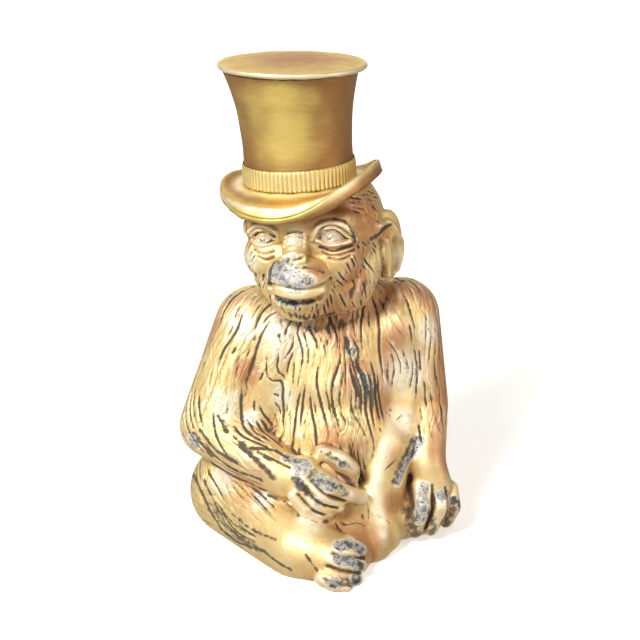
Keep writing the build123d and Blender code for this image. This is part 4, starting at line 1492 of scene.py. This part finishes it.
# Felt pad: a dark green die-cut felt glued under the plate, with a napped face.
felt_low, felt_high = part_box("felt_pad")
felt_middle = (felt_low + felt_high) / 2
felt_half = (felt_high - felt_low) / 2
felt_rings = 40
felt = bmesh.new()
felt_disc = bmesh.ops.create_circle(felt, cap_ends=True, segments=160, radius=1.0)
for ring in range(felt_rings):
    share = 1 - 1 / (felt_rings - ring + 1)
    middle_faces = [max(felt.faces, key=lambda face: len(face.verts))]
    inset = bmesh.ops.inset_region(felt, faces=middle_faces, thickness=1 / felt_rings, use_even_offset=False)
bmesh.ops.scale(felt, vec=(felt_half.x, felt_half.y, 1), verts=felt.verts)
bmesh.ops.solidify(felt, geom=list(felt.faces), thickness=felt_half.z * 2)
low = min(vert.co.z for vert in felt.verts)
bmesh.ops.translate(felt, vec=(felt_middle.x, felt_middle.y, felt_low.z - low), verts=felt.verts)
bmesh.ops.recalc_face_normals(felt, faces=felt.faces)
nap_height = 0.12
felt.normal_update()
for vert in felt.verts:
    if vert.co.z < felt_middle.z:
        vert.co.z += abs(noise.noise(vert.co / (1.5 * mm))) * nap_height * mm
felt_finish = bpy.data.materials.new("green_felt")
felt_finish.use_nodes = True
felt_tree = felt_finish.node_tree
felt_shader = felt_tree.nodes["Principled BSDF"]
felt_where = felt_tree.nodes.new("ShaderNodeTexCoord")
fibres = cloud(felt_tree, felt_where.outputs["Object"], 1800.0, 6.0, 0.7)
felt_wear = cloud(felt_tree, felt_where.outputs["Object"], 90.0, 4.0)
felt_tone = number(felt_tree, "MULTIPLY_ADD", felt_wear, 0.5, number(felt_tree, "MULTIPLY", fibres, 0.5))
link(felt_tree, mixed(felt_tree, felt_tone, (0.02, 0.05, 0.025, 1.0), (0.13, 0.2, 0.11, 1.0)), felt_shader.inputs["Base Color"])
felt_bump = felt_tree.nodes.new("ShaderNodeBump")
felt_bump.inputs["Strength"].default_value = 0.6
felt_bump.inputs["Distance"].default_value = 0.2 * mm
link(felt_tree, fibres, felt_bump.inputs["Height"])
link(felt_tree, felt_bump.outputs["Normal"], felt_shader.inputs["Normal"])
felt_shader.inputs["Roughness"].default_value = 0.95
felt_piece = as_object("felt_disc", felt)
place_piece(felt_piece, "figure", "felt", felt_finish, "felt_pad")

# Ground, light and air: a pale floor that glows, more away from the figure, one large soft light high on the left, a
# weak one on the right.
floor_size = 24.0
ground = bmesh.new()
bmesh.ops.create_grid(ground, x_segments=1, y_segments=1, size=floor_size / 2)
ground_piece = as_object("floor", ground)
ground_finish = bpy.data.materials.new("pale_floor")
ground_finish.use_nodes = True
ground_shader = ground_finish.node_tree.nodes["Principled BSDF"]
ground_shader.inputs["Base Color"].default_value = (0.92, 0.92, 0.91, 1.0)
ground_shader.inputs["Roughness"].default_value = 0.9
ground_shader.inputs["Emission Color"].default_value = (1.0, 1.0, 1.0, 1.0)
ground_where = ground_finish.node_tree.nodes.new("ShaderNodeTexCoord")
ground_reach = ground_finish.node_tree.nodes.new("ShaderNodeVectorMath")
ground_reach.operation = "LENGTH"
link(ground_finish.node_tree, ground_where.outputs["Object"], ground_reach.inputs[0])
ground_glow = ramp(ground_finish.node_tree, ground_reach.outputs["Value"], 0.2, 1.6)
ground_glow = number(ground_finish.node_tree, "MULTIPLY_ADD", ground_glow, 0.6, 0.4)
link(ground_finish.node_tree, ground_glow, ground_shader.inputs["Emission Strength"])
ground_piece.data.materials.append(ground_finish)
ground_piece.visible_glossy = False


def add_lamp(name, place, target, size, power, colour):
    """A square soft light that faces a target."""
    lamp = bpy.data.lights.new(name, "AREA")
    lamp.size = size
    lamp.energy = power
    lamp.color = colour
    holder = bpy.data.objects.new(name, lamp)
    holder.location = place
    holder.rotation_euler = (Vector(target) - Vector(place)).to_track_quat("-Z", "Y").to_euler()
    holder.visible_camera = False
    scene.collection.objects.link(holder)


light_target = (0, 0, 0.08)
add_lamp("key_light", (-0.34, -0.52, 0.55), light_target, 0.25, 11.0, (1.0, 0.98, 0.94))
add_lamp("fill_light", (0.6, -0.3, 0.3), light_target, 0.35, 1.8, (1.0, 0.87, 0.74))
add_lamp("back_light", (-0.1, 0.9, 0.55), light_target, 0.8, 2.4, (1.0, 0.87, 0.72))
air = bpy.data.worlds.new("studio_air")
air.use_nodes = True
air.node_tree.nodes["Background"].inputs["Color"].default_value = (1.0, 0.99, 0.97, 1.0)
air.node_tree.nodes["Background"].inputs["Strength"].default_value = 0.36
scene.world = air
scene.view_settings.view_transform = "Standard"
